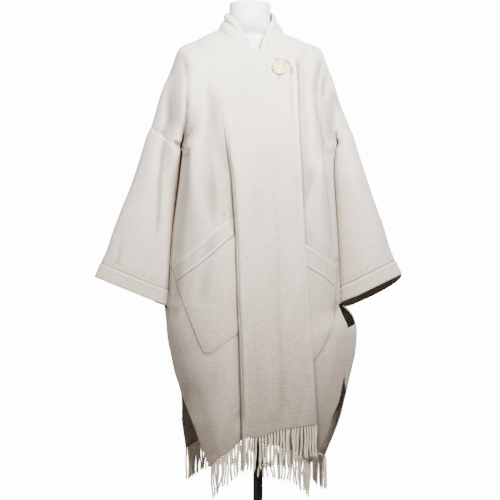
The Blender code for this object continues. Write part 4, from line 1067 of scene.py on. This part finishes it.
def make_button(ivory):
    """A turned button with a raised rim and a rough, carved middle."""
    near = lap_points(*(np.array(c, dtype=float) for c in zip(
        BUTTON_AT, (BUTTON_AT[0] + 12, BUTTON_AT[1]), (BUTTON_AT[0], BUTTON_AT[1] + 12))))
    normal = Vector(np.cross(near[1] - near[0], near[2] - near[0]))
    normal.normalize()
    if normal.y > 0:
        normal.negate()
    low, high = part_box("button")
    centre = (Vector(low) + Vector(high)) / 2
    rings = []
    for radius, height in BUTTON_SECTION:
        if radius == 0:
            rings.append([(0, 0, height * MM)])
            continue
        ring = []
        for turn in ring_turns(96):
            rough = 0.0
            if height > 3 and radius < BUTTON_CARVED:
                rough = 0.6 * math.sin(radius * 2.1 + 3 * turn) * math.sin(2.7 * turn + radius * 0.9)
                rough += 0.4 * math.sin(radius * 3.7 - 5 * turn)
            wide = radius * (1 + 0.006 * math.sin(3 * turn + 1))
            ring.append((wide * MM * math.cos(turn), wide * MM * math.sin(turn), (height + rough) * MM))
        rings.append(ring)
    turned = normal.to_track_quat("Z", "Y").to_matrix().to_4x4()
    place = Matrix.Translation(centre - normal * BUTTON_SINK) @ turned
    return ringed_body("coat_button", rings, ivory, place)


def hem_line(place, hem):
    """Points along a hem, from its left to its right end in the drawing."""
    line = curved(hem, 6)
    return place(line[:, 0], line[:, 1])


def strand_curve(name, line, spacing, seed):
    """Poly splines of strands that hang from a hem line. Neighbours sway together and gather in groups."""
    rng = np.random.default_rng(seed)
    run = np.concatenate(([0.0], np.cumsum(np.linalg.norm(np.diff(line, axis=0), axis=1))))
    count = int(run[-1] / spacing)
    order = np.arange(count)
    phase = rng.uniform(0, 2 * math.pi, 4)
    sway = sum(share * np.sin(order * turn + start) for (share, turn), start in zip(SWAYS, phase))
    bow = BOWS[0][0] * np.sin(order * BOWS[0][1] + phase[2]) + rng.normal(0, 0.012, count)
    lean = sway + rng.normal(0, STRAY, count)
    depth = BOWS[1][0] * np.sin(order * BOWS[1][1] + phase[3]) + rng.normal(0, 0.02, count)
    own = STRAND_LENGTH * rng.uniform(0.95, 1.04, count)
    wave = phase[0] + 0.45 * order + rng.normal(0, 0.7, count)
    data = bpy.data.curves.new(name, "CURVE")
    data.dimensions = "3D"
    share = np.linspace(0, 1, STRAND_POINTS)[:, None]
    for i in order:
        at = (i + 0.5) * run[-1] / count
        near = np.clip((at, at + 0.01, at - 0.01), 0, run[-1])
        root, ahead, behind = np.stack([np.interp(near, run, line[:, k]) for k in range(3)], axis=1)
        beside = (ahead - behind) / max(np.linalg.norm(ahead - behind), 1e-9)
        beside[2] = 0
        inward = np.array((FORM_X, 0, root[2])) - root
        inward = inward / np.linalg.norm(inward)
        shift = LEAN * lean[i] * share ** 1.3 + bow[i] * np.sin(math.pi * share * 1.2)
        shift = shift + WAVE * np.sin(wave[i] + 8.0 * share) * share
        places = root + inward * WALL * 0.5 + beside * shift * own[i]
        places = places + inward * depth[i] * share ** 1.5 * own[i]
        places[:, 2:] -= own[i] * share - ROOT_OVERLAP * (1 - share)
        spline = data.splines.new("POLY")
        spline.points.add(STRAND_POINTS - 1)
        spline.points.foreach_set("co", np.concatenate((places, np.ones_like(share)), axis=1).ravel())
    return add_object(name, data)


def cord_tree(yarn):
    """Geometry Nodes: two-ply cords along curves, with a tuft of loose fibres at each low end."""
    tree = bpy.data.node_groups.new("twisted_cords", "GeometryNodeTree")
    tree.interface.new_socket("Strands", in_out="INPUT", socket_type="NodeSocketGeometry")
    for label, value in (("Cord radius", 0.0027), ("Ply radius", 0.0017), ("Turns per metre", 70.0),
                         ("Tuft length", 0.006), ("Tuft fibre radius", 0.0006)):
        tree.interface.new_socket(label, in_out="INPUT", socket_type="NodeSocketFloat").default_value = value
    for label, value in (("Points", 46), ("Ply sides", 6), ("Tuft fibres", 9), ("Seed", 4)):
        tree.interface.new_socket(label, in_out="INPUT", socket_type="NodeSocketInt").default_value = value
    tree.interface.new_socket("Cords", in_out="OUTPUT", socket_type="NodeSocketGeometry")
    n = Nodes(tree)
    given = n.add("NodeGroupInput").outputs
    fine = n.add("GeometryNodeResampleCurve", {"Curve": given["Strands"], "Count": given["Points"]})
    run = n.add("GeometryNodeSplineParameter").outputs
    twist = n.math("MULTIPLY", n.math("MULTIPLY", run["Length"], given["Turns per metre"]), 2 * math.pi)
    bodies = []
    for ply in range(2):
        angle = n.math("ADD", twist, math.pi * ply)
        tangent = n.add("GeometryNodeInputTangent").outputs[0]
        side = n.vector("CROSS_PRODUCT", {0: tangent, 1: (0.31, 0.95, 0.0)})
        side = n.vector("NORMALIZE", {0: side})
        turned = n.add("ShaderNodeVectorRotate", {"Vector": side, "Axis": tangent, "Angle": angle},
                       rotation_type="AXIS_ANGLE").outputs[0]
        reach = n.math("SUBTRACT", given["Cord radius"], given["Ply radius"])
        offset = n.vector("SCALE", {0: turned, "Scale": reach})
        moved = n.add("GeometryNodeSetPosition", {"Geometry": fine.outputs[0], "Offset": offset})
        ring = n.add("GeometryNodeCurvePrimitiveCircle", {"Resolution": given["Ply sides"],
                                                          "Radius": given["Ply radius"]})
        tube = n.add("GeometryNodeCurveToMesh", {"Curve": moved.outputs[0], "Profile Curve": ring.outputs[0],
                                                 "Fill Caps": True})
        bodies.append(tube.outputs[0])
    fibre = n.add("GeometryNodeMeshCone", {"Vertices": 3, "Radius Top": 0.0, "Depth": given["Tuft length"],
                                           "Radius Bottom": given["Tuft fibre radius"]})
    hang = n.add("GeometryNodeTransform", {"Geometry": fibre.outputs["Mesh"], "Rotation": (math.pi, 0, 0)})
    low_points = n.add("GeometryNodeCurveToPoints", {"Curve": fine.outputs[0], "Count": 2}, mode="COUNT")
    rest = n.math("MODULO", n.add("GeometryNodeInputIndex").outputs[0], 2.0)
    odd = n.add("FunctionNodeCompare", {2: rest, 3: 1}, data_type="INT", operation="EQUAL")
    only = n.add("GeometryNodeSeparateGeometry", {"Geometry": low_points.outputs["Points"],
                                                  "Selection": odd.outputs[0]}, domain="POINT")
    many = n.add("GeometryNodeDuplicateElements", {"Geometry": only.outputs[0],
                                                   "Amount": given["Tuft fibres"]}, domain="POINT")
    lean = n.add("FunctionNodeRandomValue", {"Min": (-0.35, -0.35, -3.1), "Max": (0.35, 0.35, 3.1),
                                             "Seed": given["Seed"]}, data_type="FLOAT_VECTOR")
    size = n.add("FunctionNodeRandomValue", {2: 0.6, 3: 1.3, "Seed": given["Seed"]}, data_type="FLOAT")
    tufts = n.add("GeometryNodeInstanceOnPoints", {"Points": many.outputs[0], "Instance": hang.outputs[0],
                                                   "Rotation": lean.outputs[0], "Scale": size.outputs[1]})
    joined = n.add("GeometryNodeJoinGeometry")
    for part in (*bodies, tufts.outputs[0]):
        tree.links.new(part, joined.inputs[0])
    real = n.add("GeometryNodeRealizeInstances", {"Geometry": joined.outputs[0]})
    painted = n.add("GeometryNodeSetMaterial", {"Geometry": real.outputs[0], "Material": yarn})
    soft = n.add("GeometryNodeSetShadeSmooth", {0: painted.outputs[0], "Shade Smooth": True})
    out = n.add("NodeGroupOutput")
    tree.links.new(soft.outputs[0], out.inputs[0])
    return tree


def make_fringe(name, line, spacing, seed, tree):
    piece = strand_curve(name, line, spacing, seed)
    piece.modifiers.new("cords", "NODES").node_group = tree
    view = bpy.context.evaluated_depsgraph_get()
    mesh = bpy.data.meshes.new_from_object(piece.evaluated_get(view))
    mesh.name = name
    bpy.data.objects.remove(piece, do_unlink=True)
    return add_object(name, mesh)


def turned_body(name, rows, material, sides=96):
    """A loft of ovals round the form's axis: height, half width, front, back."""
    rings = []
    for up, width, front, back in np.array(rows, dtype=float):
        if width == 0:
            rings.append([(FORM_X, 0, up * MM)])
            continue
        ring = []
        for turn in ring_turns(sides):
            deep = -front if math.cos(turn) > 0 else back
            ring.append((FORM_X + width * math.sin(turn) * MM, deep * abs(math.cos(turn)) * MM, up * MM))
        rings.append(ring)
    return ringed_body(name, rings, material)


def form_rows():
    """The form's rows with finer ones between them."""
    lowest = lambda width: min(float(up_at(OUTER_RIGHT[:5], -width)), float(up_at(OUTER_LEFT[:4], width)))
    rows = list(FORM_NECK)
    rows += [(lowest(width) - WALL / MM * 1.1 - space, width, front, back)
             for width, front, back, space in FORM_SHOULDERS]
    rows += list(FORM_TORSO)
    middle = curved(rows[3:-2], 3)
    return rows[:3] + [tuple(row) for row in middle] + rows[-2:]


def turned_rod(name, rows, material, sides=64):
    """A body turned about the pole's axis: radius, height in mm."""
    rings = [[(radius * MM * math.cos(turn), radius * MM * math.sin(turn), height * MM)
              for turn in (ring_turns(sides) if radius else [0])] for radius, height in rows]
    piece = ringed_body(name, rings, material)
    piece.data.set_sharp_from_angle(angle=math.radians(40))
    return piece


def make_studio():
    world = bpy.data.worlds.new("studio")
    bpy.context.scene.world = world
    world.use_nodes = True
    backdrop = world.node_tree.nodes["Background"]
    backdrop.inputs["Color"].default_value = (1, 1, 1, 1)
    nodes = Nodes(world.node_tree)
    seen = nodes.add("ShaderNodeLightPath").outputs["Is Camera Ray"]
    strength = nodes.range(seen, 0, 1, WORLD_LIGHT, BACKDROP_LIGHT)
    world.node_tree.links.new(strength, backdrop.inputs["Strength"])
    for name, place, target, cone, radius, power in LAMPS:
        data = bpy.data.lights.new(name, "SPOT")
        data.energy = power
        data.shadow_soft_size = radius
        data.spot_size = math.radians(cone)
        data.spot_blend = 1.0
        lamp = add_object(name, data)
        lamp.location = place
        lamp.rotation_euler = (Vector(target) - Vector(place)).to_track_quat("-Z", "Y").to_euler()
    bm = bmesh.new()
    bmesh.ops.create_circle(bm, cap_ends=True, segments=96, radius=FLOOR_RADIUS)
    mesh = bpy.data.meshes.new("studio_floor")
    bm.to_mesh(mesh)
    bm.free()
    floor = add_object("studio_floor", mesh)
    floor.location.z = -0.0005
    mesh.materials.append(plain_material("floor_white", (0.9, 0.9, 0.9), 0.8, 0.0, 3.0, 0.0001))


def make_camera():
    """Level camera in front of the form's axis, which it shows at the photograph's scale."""
    data = bpy.data.cameras.new("camera")
    data.sensor_width = SENSOR
    data.lens = SENSOR * VIEW_DISTANCE / (PHOTO_PIXELS * PIXEL * MM)
    camera = add_object("camera", data)
    camera.location = (FORM_X, -VIEW_DISTANCE, VIEW_HEIGHT)
    camera.rotation_euler = (math.pi / 2, 0, 0)
    bpy.context.scene.camera = camera


def finish_piece(piece, node):
    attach(piece, "root")
    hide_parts(node)
    return piece


def main():
    make_camera()
    make_studio()
    wool = wool_material("boiled_wool")
    pocket_wool_right = wool_material("boiled_wool_pocket_right", math.radians(POCKET_GRAINS[0]))
    pocket_wool_left = wool_material("boiled_wool_pocket_left", math.radians(POCKET_GRAINS[1]))
    yarn = yarn_material()
    # Painted shade: a darker copy of the wool for the inner faces and cut edges.
    shaded_inside = wool_material("boiled_wool_inside", tones=INSIDE_TONES)
    fronts = (make_front_right(wool, shaded_inside), make_front_left(wool, shaded_inside))
    back = make_back(wool, shaded_inside)
    outer_right, outer_left = OUTER_RIGHT[ARMHOLE_TOP_RIGHT:], OUTER_LEFT[ARMHOLE_TOP_LEFT:]
    sleeves = (make_sleeve("cloth_sleeve_right", outer_right, GAP_RIGHT, -1, 0, wool, shaded_inside),
               make_sleeve("cloth_sleeve_left", outer_left, GAP_LEFT, 1, BACK_DROP_LEFT, wool, shaded_inside))
    collar = make_collar(wool)
    pockets = (make_pocket("cloth_pocket_right", POCKET_RIGHT, BAND + 1, lap_points, pocket_wool_right),
               make_pocket("cloth_pocket_left", POCKET_LEFT, BAND + 5, front_points, pocket_wool_left))
    button = make_button(button_material())
    tree = cord_tree(yarn)
    fringes = (make_fringe("cords_front_right", hem_line(lap_points, HEM_RIGHT), 0.0077, 3, tree),
               make_fringe("cords_front_left", hem_line(front_points, HEM_LEFT), 0.0074, 5, tree),
               make_fringe("cords_back", hem_line(back_points, HEM_BACK), 0.0072, 8, tree))
    white = plain_material("form_white", (0.96, 0.96, 0.955), 0.5, 0, 40, 0.0002)
    form = turned_body("form_torso", form_rows(), white)
    black = plain_material("stand_black", (0.025, 0.025, 0.025), 0.42, 0.5, 300, 0.0001)
    _, pole_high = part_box("stand_pole")
    _, base_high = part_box("stand_base")
    top = pole_high[2] / MM
    pole = turned_rod("stand_tube", ((0, top), (12.0, top), (12.5, top - 0.6), *POLE_LOW), black)
    rim = base_high[0] / MM
    edge = [(rim - inward, height) for inward, height in FOOT_EDGE]
    foot = turned_rod("stand_foot", [(0, edge[0][1]), *edge, (0, 0)], black)

    for piece, node in zip((*fronts, back, *sleeves, collar, *pockets),
                           ("front_right", "front_left", "back", "sleeve_right", "sleeve_left", "collar",
                            "pocket_right", "pocket_left")):
        finish_piece(piece, node)
    for piece, node in zip(fringes, ("fringe_front_right", "fringe_front_left", "fringe_back")):
        finish_piece(piece, node)
    finish_piece(button, "button")
    finish_piece(form, "dress_form")
    finish_piece(pole, "stand_pole")
    finish_piece(foot, "stand_base")


main()
